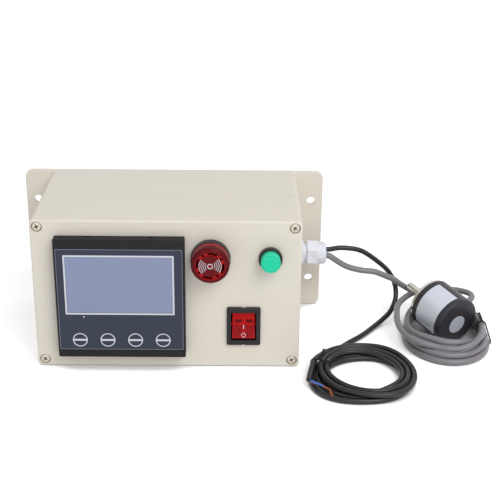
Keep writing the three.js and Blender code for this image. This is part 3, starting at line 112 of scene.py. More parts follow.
def surface_group():
    """Colour, roughness and height of a moulded, coated or drawn surface."""
    group = bpy.data.node_groups.new("surface", "ShaderNodeTree")
    for name, kind in (
        ("Colour", "NodeSocketColor"), ("Worn And Highlit Edge Colour", "NodeSocketColor"),
        ("Blotch Size", "NodeSocketFloat"), ("Blotch", "NodeSocketFloat"),
        ("Grain Size", "NodeSocketFloat"), ("Roughness", "NodeSocketFloat"),
        ("Spread", "NodeSocketFloat"), ("Edge", "NodeSocketFloat"),
    ):
        group.interface.new_socket(name=name, in_out="INPUT", socket_type=kind)
    for name, kind in (
        ("Colour", "NodeSocketColor"), ("Roughness", "NodeSocketFloat"), ("Height", "NodeSocketFloat"),
    ):
        group.interface.new_socket(name=name, in_out="OUTPUT", socket_type=kind)
    given = group.nodes.new("NodeGroupInput").outputs
    result = group.nodes.new("NodeGroupOutput").inputs
    place = group.nodes.new("ShaderNodeTexCoord").outputs["Object"]

    blotch_scale = math_node(group, "DIVIDE", 1.0, given["Blotch Size"])
    grain_scale = math_node(group, "DIVIDE", 1.0, given["Grain Size"])
    blotch = noise_node(group, place, blotch_scale, 3.0)
    grain = noise_node(group, place, grain_scale, 2.0)

    swing = math_node(group, "MULTIPLY", math_node(group, "SUBTRACT", blotch, 0.5), given["Blotch"])
    fleck = math_node(group, "MULTIPLY", math_node(group, "SUBTRACT", grain, 0.5), given["Blotch"])
    tone = math_node(group, "ADD", 1.0, math_node(group, "ADD", swing, fleck))
    toned = group.nodes.new("ShaderNodeHueSaturation")
    group.links.new(given["Colour"], toned.inputs["Color"])
    group.links.new(tone, toned.inputs["Value"])

    ridge_from, ridge_to = 0.51, 0.60       # pointiness at which an edge counts, and counts in full
    ridge = group.nodes.new("ShaderNodeMapRange")
    ridge.inputs["From Min"].default_value = ridge_from
    ridge.inputs["From Max"].default_value = ridge_to
    group.links.new(group.nodes.new("ShaderNodeNewGeometry").outputs["Pointiness"], ridge.inputs["Value"])
    # Lighter colour on sharp edges: partly rubbed wear, partly a painted highlight.
    rubbed_and_highlit = math_node(group, "MULTIPLY", ridge.outputs["Result"], given["Edge"])
    mixed = group.nodes.new("ShaderNodeMix")
    mixed.data_type = "RGBA"
    group.links.new(rubbed_and_highlit, mixed.inputs["Factor"])
    group.links.new(toned.outputs["Color"], mixed.inputs["A"])
    group.links.new(given["Worn And Highlit Edge Colour"], mixed.inputs["B"])
    group.links.new(mixed.outputs["Result"], result["Colour"])

    uneven = math_node(group, "MULTIPLY", math_node(group, "SUBTRACT", blotch, 0.5), given["Spread"])
    group.links.new(math_node(group, "ADD", given["Roughness"], uneven), result["Roughness"])
    group.links.new(grain, result["Height"])
    return group


surface = surface_group()


def finish(name, base, roughness, worn_and_highlit_edge_colour=None, edge=0.0, blotch=0.05, blotch_size=30 * mm,
           grain=0.4 * mm, depth=0.02 * mm, spread=0.08, metallic=0.0, coat=0.0, coat_roughness=0.1,
           specular=0.5):
    """A material whose colour, roughness and height come from the surface group."""
    material = bpy.data.materials.new(name)
    material.use_nodes = True
    tree = material.node_tree
    shader = tree.nodes["Principled BSDF"]
    shader.inputs["Metallic"].default_value = metallic
    shader.inputs["Specular IOR Level"].default_value = specular
    shader.inputs["Coat Weight"].default_value = coat
    shader.inputs["Coat Roughness"].default_value = coat_roughness
    detail = tree.nodes.new("ShaderNodeGroup")
    detail.node_tree = surface
    for socket, value in (
        ("Colour", base), ("Worn And Highlit Edge Colour", worn_and_highlit_edge_colour or base), ("Blotch Size", blotch_size),
        ("Blotch", blotch), ("Grain Size", grain), ("Roughness", roughness), ("Spread", spread),
        ("Edge", edge),
    ):
        detail.inputs[socket].default_value = value
    tree.links.new(detail.outputs["Colour"], shader.inputs["Base Color"])
    tree.links.new(detail.outputs["Roughness"], shader.inputs["Roughness"])
    bump = tree.nodes.new("ShaderNodeBump")
    bump.inputs["Strength"].default_value = 1.0
    bump.inputs["Distance"].default_value = depth
    tree.links.new(detail.outputs["Height"], bump.inputs["Height"])
    tree.links.new(bump.outputs["Normal"], shader.inputs["Normal"])
    return material


def smooth(share):
    held = min(max(share, 0), 1)
    return held * held * (3 - 2 * held)


def curved(points, spacing):
    """Points of a centripetal curve through the given ones, about a spacing apart."""
    ends = [2 * points[0] - points[1], *points, 2 * points[-1] - points[-2]]
    line = []
    for a, b, c, d in zip(ends, ends[1:], ends[2:], ends[3:]):
        before, here, after = ((q - p).length ** 0.5 for p, q in ((a, b), (b, c), (c, d)))
        start = ((b - a) / before - (c - a) / (before + here) + (c - b) / here) * here
        end = ((c - b) / here - (d - b) / (here + after) + (d - c) / after) * here
        steps = max(1, math.ceil((c - b).length / spacing))
        for i in range(steps):
            t = i / steps
            line.append(
                b * (2 * t ** 3 - 3 * t ** 2 + 1) + start * (t ** 3 - 2 * t ** 2 + t)
                + c * (3 * t ** 2 - 2 * t ** 3) + end * (t ** 3 - t ** 2))
    line.append(points[-1].copy())
    return line


def wire(name, lines, radius, material, closed=False):
    """A curve piece with a round section along each line of points."""
    curve = bpy.data.curves.new(name, "CURVE")
    curve.dimensions = "3D"
    curve.bevel_depth = radius
    curve.bevel_resolution = 5
    curve.use_fill_caps = True
    for i, line in enumerate(lines):
        spline = curve.splines.new("POLY")
        spline.points.add(len(line) - 1)
        for point, place in zip(spline.points, line):
            point.co = (*place, 1)
        spline.use_smooth = True
        spline.use_cyclic_u = closed and i == 0
    curve.materials.append(material)
    made = bpy.data.objects.new(name, curve)
    bpy.context.scene.collection.objects.link(made)
    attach(made, "box")
    return made


def coil_point(centre, half_width, half_depth, degrees, inward, height):
    """A point of a coil at an angle of its ellipse, and the direction inwards there."""
    c, s = math.cos(math.radians(degrees)), math.sin(math.radians(degrees))
    inside = Vector((-c / half_width, -s / half_depth, 0)).normalized()
    rim = Vector((centre[0] + half_width * c, centre[1] + half_depth * s, height))
    return rim + inside * inward, inside


tie_wire = 0.6 * mm
tie_clearance = 0.15 * mm
tie_lift_reach = 15         # degrees of coil lifted on either side of a tie


def tie_lift(degrees, tie_degrees):
    apart = abs((degrees - tie_degrees + 180) % 360 - 180)
    return (2 * tie_wire + tie_clearance) * smooth(1 - apart / tie_lift_reach)


gland_place = Vector((0.1, 0.026, 0.06))
gland_mouth = 24.9 * mm     # the gland's end, out from the wall
cord_start = 110 * mm       # where the cables begin, inside the gland

sensor_cord_diameter = 5 * mm
sensor_cord_height = 57.4 * mm
sensor_coil_centre = (0.221, -0.015)
sensor_coil_half_width = 32 * mm
sensor_coil_front = 39 * mm
sensor_coil_back = 52 * mm
sensor_coil_pitch = 5.15 * mm
sensor_coil_start, sensor_coil_step = 35, 7.5   # degrees
sensor_coil_points = 165
sensor_tie_degrees = -10
lean_left, lean_right, lean_front = 84, 70, 57   # degrees, lean of the stack from level
climb_from, climb_span = 135, 90                 # where each turn climbs, in degrees
sag_from, sag_span = 245, 80
roll_from, roll_span = 357, 94

sensor_centre = (0.2111, 0.0077, 0.0247)
sensor_heading, sensor_fall, sensor_roll = 31.7, 8.8, 2.5   # degrees
sensor_place = (
    Matrix.Translation(sensor_centre)
    @ Matrix.Rotation(math.radians(sensor_heading), 4, "Z")
    @ Matrix.Rotation(-math.radians(90 - sensor_fall), 4, "X")
    @ Matrix.Rotation(-math.radians(sensor_roll), 4, "Z")
)
outlet_along = -13 * mm

sensor_lead = [
    (0.1326, 0.026, 0.054), (0.1382, 0.026, 0.0502), (0.1448, 0.0265, 0.0468),
    (0.1553, 0.027, 0.044), (0.166, 0.0275, 0.0425), (0.177, 0.029, 0.0376),
    (0.1823, 0.0305, 0.0347), (0.1896, 0.035, 0.028), (0.1984, 0.0405, 0.0206),
    (0.2055, 0.0452, 0.0148), (0.213, 0.048, 0.01), (0.221, 0.0486, 0.0062),
    (0.229, 0.046, 0.0039), (0.236, 0.0405, 0.0027), (0.2412, 0.031, 0.0025),
]
sensor_tail = [
    (0.1982, -0.0429, 0.0129), (0.1923, -0.0392, 0.0133), (0.1872, -0.0332, 0.0139),
    (0.1832, -0.0225, 0.0148), (0.1818, -0.0105, 0.016), (0.1828, 0.002, 0.0172),
    (0.1855, 0.0145, 0.0185), (0.1925, 0.0255, 0.02), (0.202, 0.034, 0.021),
    (0.213, 0.038, 0.021), (0.224, 0.0385, 0.0216), (0.233, 0.036, 0.0228),
    (0.2396, 0.0316, 0.0238), (0.2436, 0.028, 0.0243), (0.2463, 0.024, 0.0245),
    (0.247, 0.0195, 0.0245), (0.2458, 0.0154, 0.0243),
]


def sensor_coil_place(degrees):
    """Turns that climb behind the sensor. The third sags back on the left, and it rolls
    over the fourth at the front."""
    sine, cosine = math.sin(math.radians(degrees)), math.cos(math.radians(degrees))
    half_depth = sensor_coil_back if sine > 0 else sensor_coil_front
    side_lean = lean_left + (lean_right - lean_left) * (1 + cosine) / 2
    lean = math.radians(side_lean + (lean_front - side_lean) * max(0, -sine) ** 2)
    climb = sum(smooth((climb_from - 360 * turn - degrees) / climb_span) for turn in (1, 2, 3))
    sag = smooth((sag_from - 360 * 3 - degrees) / sag_span)
    roll = math.pi * sum(smooth((roll_from - 360 * turn - degrees) / roll_span) for turn in (3, 4))
    spread = 0.5 + 0.03 * math.sin(roll) ** 2
    turns_up = climb - sag + 0.5
    inward = sensor_coil_pitch * (turns_up * math.cos(lean) - spread * math.cos(lean + roll))
    rise = sensor_coil_pitch * (turns_up * math.sin(lean) - spread * math.sin(lean + roll))
    height = sensor_cord_diameter / 2 + rise + tie_lift(degrees, sensor_tie_degrees)
    return coil_point(sensor_coil_centre, sensor_coil_half_width, half_depth, degrees, inward, height)


def outlet_point(distance):
    return sensor_place @ Vector((distance, 0, outlet_along))


def out_of_gland(height):
    """The straight start of a cable, from inside the gland to beyond its mouth."""
    return [Vector((x, gland_place.y, height)) for x in (cord_start, 0.1177, 0.127)]


sensor_turns = [sensor_coil_place(sensor_coil_start - sensor_coil_step * i)[0]
                for i in range(sensor_coil_points)]
sensor_line = curved([
    *out_of_gland(sensor_cord_height),
    *map(Vector, sensor_lead),
    *sensor_turns,
    *map(Vector, sensor_tail),
    outlet_point(29.5 * mm), outlet_point(24.5 * mm), outlet_point(18 * mm),
], 2 * mm)

grey_jacket = finish("grey_jacket", colour(122, 119, 124), 0.36, blotch=0.06, blotch_size=25 * mm,
                     grain=0.35 * mm, spread=0.12)

sensor_cord = wire("sensor_cord", [sensor_line], sensor_cord_diameter / 2, grey_jacket)
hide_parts("sensor_cord_lead", "sensor_cord_coil", "sensor_cord_tail")


# Power cable. One black PVC cable of 4.2 mm: out of the gland above the grey one, back and
# down to the floor, five turns in two layers, and a cut end. A blue core comes out of it,
# bared to its copper strands, over the stub of a brown one.

power_cord_diameter = 4.2 * mm
power_cord_height = 63 * mm
power_coil_centre = (0.149, -0.0755)
power_coil_half_width = 38.5 * mm
power_coil_front = 38.5 * mm
power_coil_back = 38 * mm
power_coil_pitch = 4.4 * mm
power_coil_spread_front, power_coil_spread_back = 5.2 * mm, 4.4 * mm
power_coil_bulges = ((222, 4 * mm), (305, 4.2 * mm), (60, 4 * mm))   # degrees, outwards
power_coil_turns = 5
power_coil_points = 48      # to each turn
power_coil_shift = 1.5 * mm   # lower layer to the front left, upper to the back right
power_coil_sway = 1.8 * mm    # twice round, so that the layers cross
power_coil_climb = 0.2      # of a turn
power_coil_start = 134      # degrees
power_tie_degrees = 164

power_lead = [
    (0.1359, 0.0265, 0.0642), (0.1464, 0.0275, 0.0632), (0.1547, 0.0295, 0.0603),
    (0.1693, 0.0355, 0.0484), (0.1796, 0.039, 0.0375), (0.1851, 0.0395, 0.027),
    (0.1865, 0.037, 0.0197), (0.1856, 0.0325, 0.0143), (0.1806, 0.0235, 0.0078),
    (0.1738, 0.016, 0.0044), (0.1658, 0.0068, 0.0025), (0.1537, -0.0093, 0.0021),
    (0.1415, -0.0225, 0.0021), (0.1318, -0.0348, 0.0021),
]
power_end = [
    (0.1176, -0.0518, 0.0071), (0.1138, -0.0578, 0.0078), (0.1114, -0.0644, 0.0085),
    (0.1099, -0.071, 0.0086), (0.1083, -0.078, 0.0084), (0.107, -0.085, 0.0081),
    (0.1059, -0.0915, 0.0076),
]
blue_route = [
    (0.1069, -0.093, 0.0077), (0.1093, -0.0944, 0.0074), (0.1128, -0.0964, 0.0069), (0.1163, -0.0986, 0.0062),
]
strands_route = [
    (0.1158, -0.0983, 0.0063), (0.1186, -0.1012, 0.0064), (0.1207, -0.1035, 0.0065),
    (0.121, -0.107, 0.006), (0.1218, -0.1108, 0.0055),
]
brown_route = [
    (0.1056, -0.0922, 0.0064), (0.1074, -0.093, 0.006), (0.11, -0.0938, 0.0058), (0.1128, -0.0948, 0.0056),
]


def power_coil_place(turn):
    """A spiral inwards on the floor and one outwards on top of it."""
    degrees = power_coil_start + 360 * turn
    layers = turn if turn < power_coil_turns / 2 else power_coil_turns - turn
    half_width = power_coil_half_width - power_coil_pitch * layers
    if degrees % 360 < 180:
        half_depth = power_coil_back - power_coil_spread_back * layers
    else:
        half_depth = power_coil_front - power_coil_spread_front * layers
    upper = smooth((turn - power_coil_turns / 2) / power_coil_climb + 0.5)
    shift = -math.cos(math.pi * upper) * (
        power_coil_shift * math.sin(2 * math.pi * turn)
        + power_coil_sway * math.sin(4 * math.pi * turn - math.pi / 3))
    for middle, bulge in power_coil_bulges:
        near = max(0, math.cos(math.radians(degrees - middle))) ** 8
        shift -= bulge * near * (1 - 2 * layers / power_coil_turns) ** 3
    height = power_cord_diameter / 2 + power_coil_pitch * upper + tie_lift(degrees, power_tie_degrees)
    return coil_point(power_coil_centre, half_width, half_depth, degrees, shift, height)[0]


power_turns = [power_coil_place(i / power_coil_points)
               for i in range(power_coil_points * power_coil_turns + 1)]
power_line = curved([
    *out_of_gland(power_cord_height),
    *map(Vector, power_lead),
    *power_turns,
    *map(Vector, power_end),
], 2 * mm)

black_jacket = finish("black_jacket", colour(30, 29, 33), 0.34, blotch=0.12, blotch_size=20 * mm,
                      grain=0.3 * mm, spread=0.12, specular=0.4)

power_cord = wire("power_cord", [power_line], power_cord_diameter / 2, black_jacket)
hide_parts("power_cord_lead", "power_cord_coil")

core_radius = 0.75 * mm
strand_radius = 0.16 * mm
strand_count = 7
blue_insulation = finish("blue_insulation", colour(64, 106, 188), 0.4, blotch=0.1, grain=0.2 * mm)
brown_insulation = finish("brown_insulation", colour(98, 58, 38), 0.4, blotch=0.1, grain=0.2 * mm)
copper = finish("copper", colour(205, 120, 82), 0.3, blotch=0.2, blotch_size=2 * mm, metallic=1.0,
                grain=0.1 * mm)
blue_core = wire("blue_core_wire", [curved([Vector(p) for p in blue_route], 0.6 * mm)], core_radius,
                 blue_insulation)
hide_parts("blue_core")
brown_core = wire("brown_core_wire", [curved([Vector(p) for p in brown_route], 0.6 * mm)], core_radius,
                  brown_insulation)
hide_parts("brown_core")


def bared_strands():
    """Copper strands, twisted a little and spreading towards their cut ends."""
    line = curved([Vector(p) for p in strands_route], 0.4 * mm)
    paths = []
    for k in range(strand_count):
        path = []
        for i, point in enumerate(line):
            share = i / (len(line) - 1)
            turn = 2 * math.pi * (k / strand_count + 0.6 * share)
            reach = 0.0 if k == 0 else (0.38 + 0.45 * share * share) * mm
            path.append(point + Vector((math.cos(turn), 0, math.sin(turn))) * reach)
        paths.append(path)
    return wire("blue_strands", paths, strand_radius, copper)


blue_strands = bared_strands()


# Ties. Each coil is held by a wire in black plastic. It is drawn once round the bundle, and
# its two ends are twisted together on top.

rubber = finish("rubber", colour(24, 24, 26), 0.6, blotch=0.1, grain=0.3 * mm, depth=0.03 * mm, specular=0.3)
twist_steps = 36
twist_turns = 1.5
twist_reach_out = 0.8 * mm


def wire_round(corners, distance):
    """Centre points of a wire drawn tightly round a row of corners."""
    points = []
    for i, corner in enumerate(corners):
        before = corners[i - 1]
        after = corners[(i + 1) % len(corners)]
        first = math.atan2(corner[0] - before[0], before[1] - corner[1]) - math.pi
        last = math.atan2(after[0] - corner[0], corner[1] - after[1]) - math.pi
        sweep = (last - first) % (2 * math.pi) or math.pi
        steps = math.ceil(sweep / math.radians(10))
        for k in range(steps + 1):
            angle = first + sweep * k / steps
            points.append((corner[0] + distance * math.cos(angle), corner[1] + distance * math.sin(angle)))
    return points


def tie(name, origin, inside, corners, distance, twist_from, twist_reach):
    up = Vector((0, 0, 1))
    loop = [origin + inside * u + up * v for u, v in wire_round(corners, distance)]
    across = inside.cross(up)
    side = twist_reach.normalized().cross(across).normalized()
    other = twist_reach.normalized().cross(side)
    ends = []
    for phase in (0, math.pi):
        end = []
        for i in range(twist_steps + 1):
            angle = phase + 2 * math.pi * twist_turns * i / twist_steps
            end.append(twist_from + twist_reach * i / twist_steps
                       + (side * math.cos(angle) + other * math.sin(angle)) * twist_reach_out)
        ends.append(end)
    return wire(name, [loop, *ends], tie_wire, rubber, closed=True)


def sensor_tie():
    point, inside = sensor_coil_place(sensor_tie_degrees)
    top = sensor_coil_place(sensor_tie_degrees - 3 * 360)[0]
    distance = sensor_cord_diameter / 2 + tie_clearance + tie_wire
    corners = [(0, 0), ((top - point).dot(inside), top.z - point.z)]
    return tie("sensor_tie", point, inside, corners, distance, top + Vector((0, 0, distance)),
               Vector((-3, 1, 7)) * mm)


def power_tie():
    turn = (power_tie_degrees - power_coil_start) / 360
    outer, inner, upper_inner = (power_coil_place(turn + turns) for turns in (0, 2, 3))
    inside = (inner - outer).normalized()
    reach = (upper_inner - outer).dot(inside)
    rim = power_coil_shift * math.sin(2 * math.pi * turn)
    corners = [(0, 0), ((inner - outer).length, 0), (reach, power_coil_pitch),
               (rim - 0.5 * mm, power_coil_pitch)]
    distance = power_cord_diameter / 2 + tie_clearance + tie_wire
    crown = outer + inside * reach / 2 + Vector((0, 0, power_coil_pitch + distance))
    return tie("power_tie", outer, inside, corners, distance, crown, Vector((3, 6, 6)) * mm)


sensor_tie_piece = sensor_tie()
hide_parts("sensor_cord_tie")
power_tie_piece = power_tie()
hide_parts("power_cord_tie")


# Box. A moulded ABS case in ivory: a rear case with a mounting plate and two ears, and a
# front cover of the same outline, drawn together by a screw in each corner.

panel_place = Matrix(((1, 0, 0, 0), (0, 0, -1, -0.058), (0, 1, 0, 0), (0, 0, 0, 1)))
gap = 0.3 * mm              # left between neighbours
overrun = 3 * mm            # how far a cutting shape passes what it cuts
box_width = 200 * mm
box_height = 120 * mm
box_corner = 3.8 * mm
front_fillet = 1.5 * mm
cover_depth = 56 * mm
box_depth = 116 * mm
wall = 3.2 * mm
plate_width = 245 * mm
plate_thickness = 4.5 * mm
plate_corner = 6 * mm
screw_inset = 5.5 * mm
screw_head = 3.8 * mm
screw_shank = 1.9 * mm
screw_pocket = 3 * mm       # depth
screw_pilot = 24 * mm       # depth
post_radius = 5 * mm
gasket_groove = 1.6 * mm    # half its width, and its depth
ear_hole = 3.5 * mm         # radius
ear_hole_across = 113 * mm
ear_hole_up = 35 * mm
gland_hole = 8 * mm         # radius
crease = math.radians(32)   # an edge between faces at a wider angle is sharp


def skin(loops, closed=False):
    """A closed mesh over rows of points of equal count: capped, or joined last to first."""
    mesh = bmesh.new()
    rows = [[mesh.verts.new(point) for point in loop] for loop in loops]
    pairs = list(zip(rows, rows[1:]))
    if closed:
        pairs.append((rows[-1], rows[0]))
    for low, high in pairs:
        for i in range(len(low)):
            k = (i + 1) % len(low)
            mesh.faces.new((low[i], low[k], high[k], high[i]))
    if not closed:
        mesh.faces.new(rows[0][::-1])
        mesh.faces.new(rows[-1])
    bmesh.ops.recalc_face_normals(mesh, faces=mesh.faces)
    return mesh


def rounded_rectangle(width, height, radius, steps=8):
    points = []
    for quarter, (x, y) in enumerate(((1, 1), (-1, 1), (-1, -1), (1, -1))):
        for i in range(steps + 1):
            angle = math.pi / 2 * (quarter + i / steps)
            points.append((x * (width / 2 - radius) + radius * math.cos(angle),
                           y * (height / 2 - radius) + radius * math.sin(angle)))
    return points


def block(width, height, radius, low, high, fillet=0.0, steps=6, centre=(0, 0)):
    """A rounded rectangle from low to high, its high end rounded over by the fillet."""
    levels = [(0, low)]
    for i in range(steps + 1 if fillet else 1):
        angle = math.pi / 2 * i / steps
        levels.append((fillet * (1 - math.cos(angle)), high - fillet * (1 - math.sin(angle))))
    return skin([[(x + centre[0], y + centre[1], z) for x, y in rounded_rectangle(
        width - 2 * inset, height - 2 * inset, max(radius - inset, 0.05 * mm))] for inset, z in levels])


def turned(profile, sides=96, closed=False, centre=(0, 0)):
    """[radius, height] points turned about the Z axis."""
    return skin([[(centre[0] + radius * math.cos(2 * math.pi * i / sides),
                   centre[1] + radius * math.sin(2 * math.pi * i / sides), height)
                  for i in range(sides)] for radius, height in profile], closed)


def disc(radius, low, high, centre=(0, 0), sides=64):
    return turned([(radius, low), (radius, high)], sides, centre=centre)


def bordered(outer, inner, low, high, centre):
    """What lies between two rectangular outlines, from low to high."""
    return skin([[(x + centre[0], y + centre[1], z) for x, y in outline] for outline, z in (
        (outer, low), (outer, high), (inner, high), (inner, low))], closed=True)


def moved(mesh, place):
    bmesh.ops.transform(mesh, verts=mesh.verts, matrix=place)
    return mesh


def along_x(x, y, z):
    """The place of a piece whose own Z axis lies along X."""
    return Matrix.Translation((x, y, z)) @ Matrix.Rotation(math.pi / 2, 4, "Y")


def made_object(name, mesh):
    data = bpy.data.meshes.new(name)
    mesh.to_mesh(data)
    mesh.free()
    made = bpy.data.objects.new(name, data)
    bpy.context.scene.collection.objects.link(made)
    return made


def combined(name, body, cuts=(), adds=()):
    """The body with other meshes added, and then others cut away."""
    made = made_object(name, body)
    tools = []
    for operation, meshes in (("UNION", adds), ("DIFFERENCE", cuts)):
        for mesh in meshes:
            tool = made_object("tool", mesh)
            step = made.modifiers.new("step", "BOOLEAN")
            step.operation = operation
            step.solver = "EXACT"
            step.object = tool
            tools.append(tool)
    depsgraph = bpy.context.evaluated_depsgraph_get()
    data = bpy.data.meshes.new_from_object(made.evaluated_get(depsgraph))
    made.modifiers.clear()
    made.data = data
    for tool in tools:
        bpy.data.objects.remove(tool)
    return made


def placed(made, place, material, body="box", nodes=(), soft=0.15 * mm):
    """Puts a made piece in its place, softens its edges and ties it to its body and nodes."""
    made.data.transform(place)
    made.data.materials.clear()
    made.data.materials.append(material)
    made.data.shade_smooth()
    made.data.set_sharp_from_angle(angle=crease)
    if soft:
        edges = made.modifiers.new("edges", "BEVEL")
        edges.width = soft
        edges.segments = 2
        edges.limit_method = "ANGLE"
        edges.angle_limit = crease
    shading = made.modifiers.new("shading", "WEIGHTED_NORMAL")
    shading.keep_sharp = True
    shading.weight = 100
    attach(made, body)
    if nodes:
        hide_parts(*nodes)
    return made


ivory = finish("ivory_plastic", colour(217, 211, 199), 0.5, blotch=0.03, blotch_size=60 * mm,
               grain=0.5 * mm)
corner_places = [(x * (box_width / 2 - screw_inset), box_height / 2 + y * (box_height / 2 - screw_inset))
                 for y in (1, -1) for x in (-1, 1)]
middle = (0, box_height / 2)

counter_centre = (-34.3 * mm, 60 * mm)
counter_side = 96 * mm
bezel_wall = 2.4 * mm
buzzer_centre = (32.6 * mm, 91.2 * mm)
buzzer_tube = 11 * mm
reset_centre = (76.8 * mm, 91.2 * mm)
reset_tube = 7.7 * mm
rocker_centre = (57.4 * mm, 35.2 * mm)
frame_body_width = 22 * mm
frame_body_height = 28 * mm


def front_cover():
    post_top = -wall - gap
    inner = block(box_width - 2 * wall, box_height - 2 * wall, box_corner - wall + gap,
                  -cover_depth - overrun, -wall, centre=middle)
    shell = combined("front_cover_body", block(
        box_width, box_height, box_corner, -cover_depth, 0, front_fillet, centre=middle), cuts=[inner])
    opening = counter_side - 2 * bezel_wall + gap
    cuts = [
        block(opening, opening, 0.5 * mm, -wall - overrun, overrun, centre=counter_centre),
        disc(buzzer_tube + gap, -wall - overrun, overrun, buzzer_centre),
        disc(reset_tube + gap, -wall - overrun, overrun, reset_centre),
        block(frame_body_width + 2 * gap, frame_body_height + 2 * gap, 0.5 * mm, -wall - overrun, overrun,
              centre=rocker_centre),
        *(disc(screw_shank + gap, -cover_depth - overrun, overrun, place, 32) for place in corner_places),
        *(disc(screw_head + gap, -screw_pocket, overrun, place, 48) for place in corner_places),
    ]
    body = bmesh.new()
    body.from_mesh(shell.data)
    bpy.data.objects.remove(shell)
    posts = [disc(post_radius, -cover_depth, post_top + wall / 2, place, 48) for place in corner_places]
    return combined("front_cover_shell", body, cuts=cuts, adds=posts)


placed(front_cover(), panel_place, ivory, nodes=["front_cover"], soft=0.2 * mm)


def rear_case():
    front = -cover_depth - gap
    back = -box_depth
    floor = back + plate_thickness
    plate = block(plate_width, box_height, plate_corner, back, floor, 0.6 * mm, 4, centre=middle)
    body = block(box_width, box_height, box_corner, back + gap, front, centre=middle)
    inner = block(box_width - 2 * wall, box_height - 2 * wall, box_corner - wall + gap, floor,
                  front + overrun, centre=middle)
    shell = combined("case", plate, adds=[body], cuts=[inner])
    posts = [disc(post_radius, floor - 1 * mm, front, place, 48) for place in corner_places]
    groove_outer, groove_inner = (rounded_rectangle(
        box_width - wall + reach, box_height - wall + reach, corner)
        for reach, corner in ((gasket_groove, 3 * mm), (-gasket_groove, 1.4 * mm)))
    groove = bordered(groove_outer, groove_inner, front - gasket_groove, front + overrun, middle)
    ear_holes = [disc(ear_hole, back - overrun, floor + overrun,
                      (x * ear_hole_across, middle[1] + y * ear_hole_up), 64)
                 for x in (-1, 1) for y in (-1, 1)]
    pilots = [disc(screw_shank + gap, front - screw_pilot, front + overrun, place, 32)
              for place in corner_places]
    gland_opening = moved(disc(gland_hole, -wall - overrun, overrun, sides=64), along_x(
        box_width / 2, gland_place.z, -(gland_place.y + box_depth / 2)))
    mesh = bmesh.new()
    mesh.from_mesh(shell.data)
    bpy.data.objects.remove(shell)
    return combined("rear_case_shell", mesh, adds=posts, cuts=[groove, *ear_holes, *pilots, gland_opening])


placed(rear_case(), panel_place, ivory, nodes=["rear_case"], soft=0.2 * mm)


# Cover screws. Four long steel screws with zinc-plated pan heads, each sunk in a round
# pocket of the cover. A driver has turned each cross another way.

# Its lighter edges are partly wear and partly a painted highlight.
zinc = finish("zinc", colour(206, 197, 182), 0.4, worn_and_highlit_edge_colour=colour(222, 215, 203), edge=0.4, blotch=0.15,
              blotch_size=2 * mm, grain=0.15 * mm, depth=0.01 * mm, metallic=0.5)
# A dark brown for the screws' cross recesses: painted shade.
cross_recess_painted_shade = finish("cross_recess_painted_shade", colour(74, 64, 55), 0.6, blotch=0.3, blotch_size=1 * mm, specular=0.2)
screw_turns = (24, 68, 50, 32)   # degrees, how each cross came to rest
screw_length = 74 * mm
screw_under = -screw_pocket + gap
screw_top = screw_under + 2.4 * mm
cross_length = 4 * mm
cross_width = 0.7 * mm


def rounded_edge(radius, height, fillet, steps=6):
    """Profile points of a quarter round below a height, from the side to the top."""
    return [(radius - fillet * (1 - math.cos(math.pi / 2 * i / steps)),
             height - fillet * (1 - math.sin(math.pi / 2 * i / steps))) for i in range(steps + 1)]


def cover_screw(name):
    head = turned([
        (screw_shank, screw_under - screw_length), (screw_shank, screw_under), (screw_head, screw_under),
        *rounded_edge(screw_head, screw_top, 1.5 * mm), (0.4 * mm, screw_top + 0.1 * mm)], 64)
    slots = [block(width, height, 0.2 * mm, screw_top - 1.3 * mm, screw_top + overrun)
             for width, height in ((cross_length, cross_width), (cross_width, cross_length))]
    pit = turned([(0.3 * mm, screw_top - 1.6 * mm), (1.05 * mm, screw_top + 0.3 * mm)], 32)
    return combined(name, head, cuts=[*slots, pit])


for i, (x, y) in enumerate(corner_places):
    screw = cover_screw(f"screw_{i + 1}")
    shaded_cross_faces = [face.index for face in screw.data.polygons
                if screw_top - 2 * mm < face.center.z < screw_top - 0.3 * mm
                and face.center.to_2d().length < 2.7 * mm]
    placed(screw, panel_place @ Matrix.Translation((x, y, 0)) @ Matrix.Rotation(
        math.radians(screw_turns[i]), 4, "Z"), zinc, nodes=[f"cover_screw_{i + 1}"],
        soft=0.05 * mm)
    # The faces of the cross and its pit take the dark brown: painted shade.
    screw.data.materials.append(cross_recess_painted_shade)
    for index in shaded_cross_faces:
        screw.data.polygons[index].material_index = 1


# Panel counter. A black bezel proud of the panel holds a printed film with a window over
# the display and four press areas, each marked by a pale ring and bar.

counter_proud = 8.6 * mm
film_thickness = 0.5 * mm
film_back = counter_proud - film_thickness
film_drop = 0.35 * mm
film_width = 93 * mm
film_height = 82 * mm
window_width = 78.5 * mm
window_height = 45.3 * mm
window_centre = (-0.45 * mm, 11.85 * mm)
key_radius = 5.9 * mm
key_places = [((i - 1.5) * 20.8 * mm, -33.3 * mm) for i in range(4)]
counter_place = panel_place @ Matrix.Translation((*counter_centre, 0))
key_stem = 2.5 * mm         # radius
key_slit = 0.12 * mm        # round each press area, in the film
notch_across = 23.3 * mm    # from the middle of the bezel to each notch in its rim
ink_height = 0.04 * mm
dot_radius, dot_place = 0.6 * mm, (-27.7 * mm, -14.1 * mm)
mark_inside, mark_outside = 4.85 * mm, 5.6 * mm     # radii of the ring on a press area
mark_bar_length, mark_bar_width = 10.4 * mm, 1.5 * mm

bezel_black = finish("bezel_black", colour(34, 33, 36), 0.5, blotch=0.08, grain=0.25 * mm,
                     depth=0.05 * mm, specular=0.15)
film_blue = finish("film_blue", colour(56, 61, 75), 0.38, blotch=0.04, grain=0.12 * mm,
                   depth=0.006 * mm, specular=0.15)
# The blank display's light blue-grey is partly the glass's own tint and partly a painted reflection of the
# bright room.
display = finish("display_blank", colour(131, 140, 171), 0.2, blotch=0.03, blotch_size=40 * mm,
                 grain=0.2 * mm, depth=0.002 * mm, coat=0.15, coat_roughness=0.05, specular=0.3)
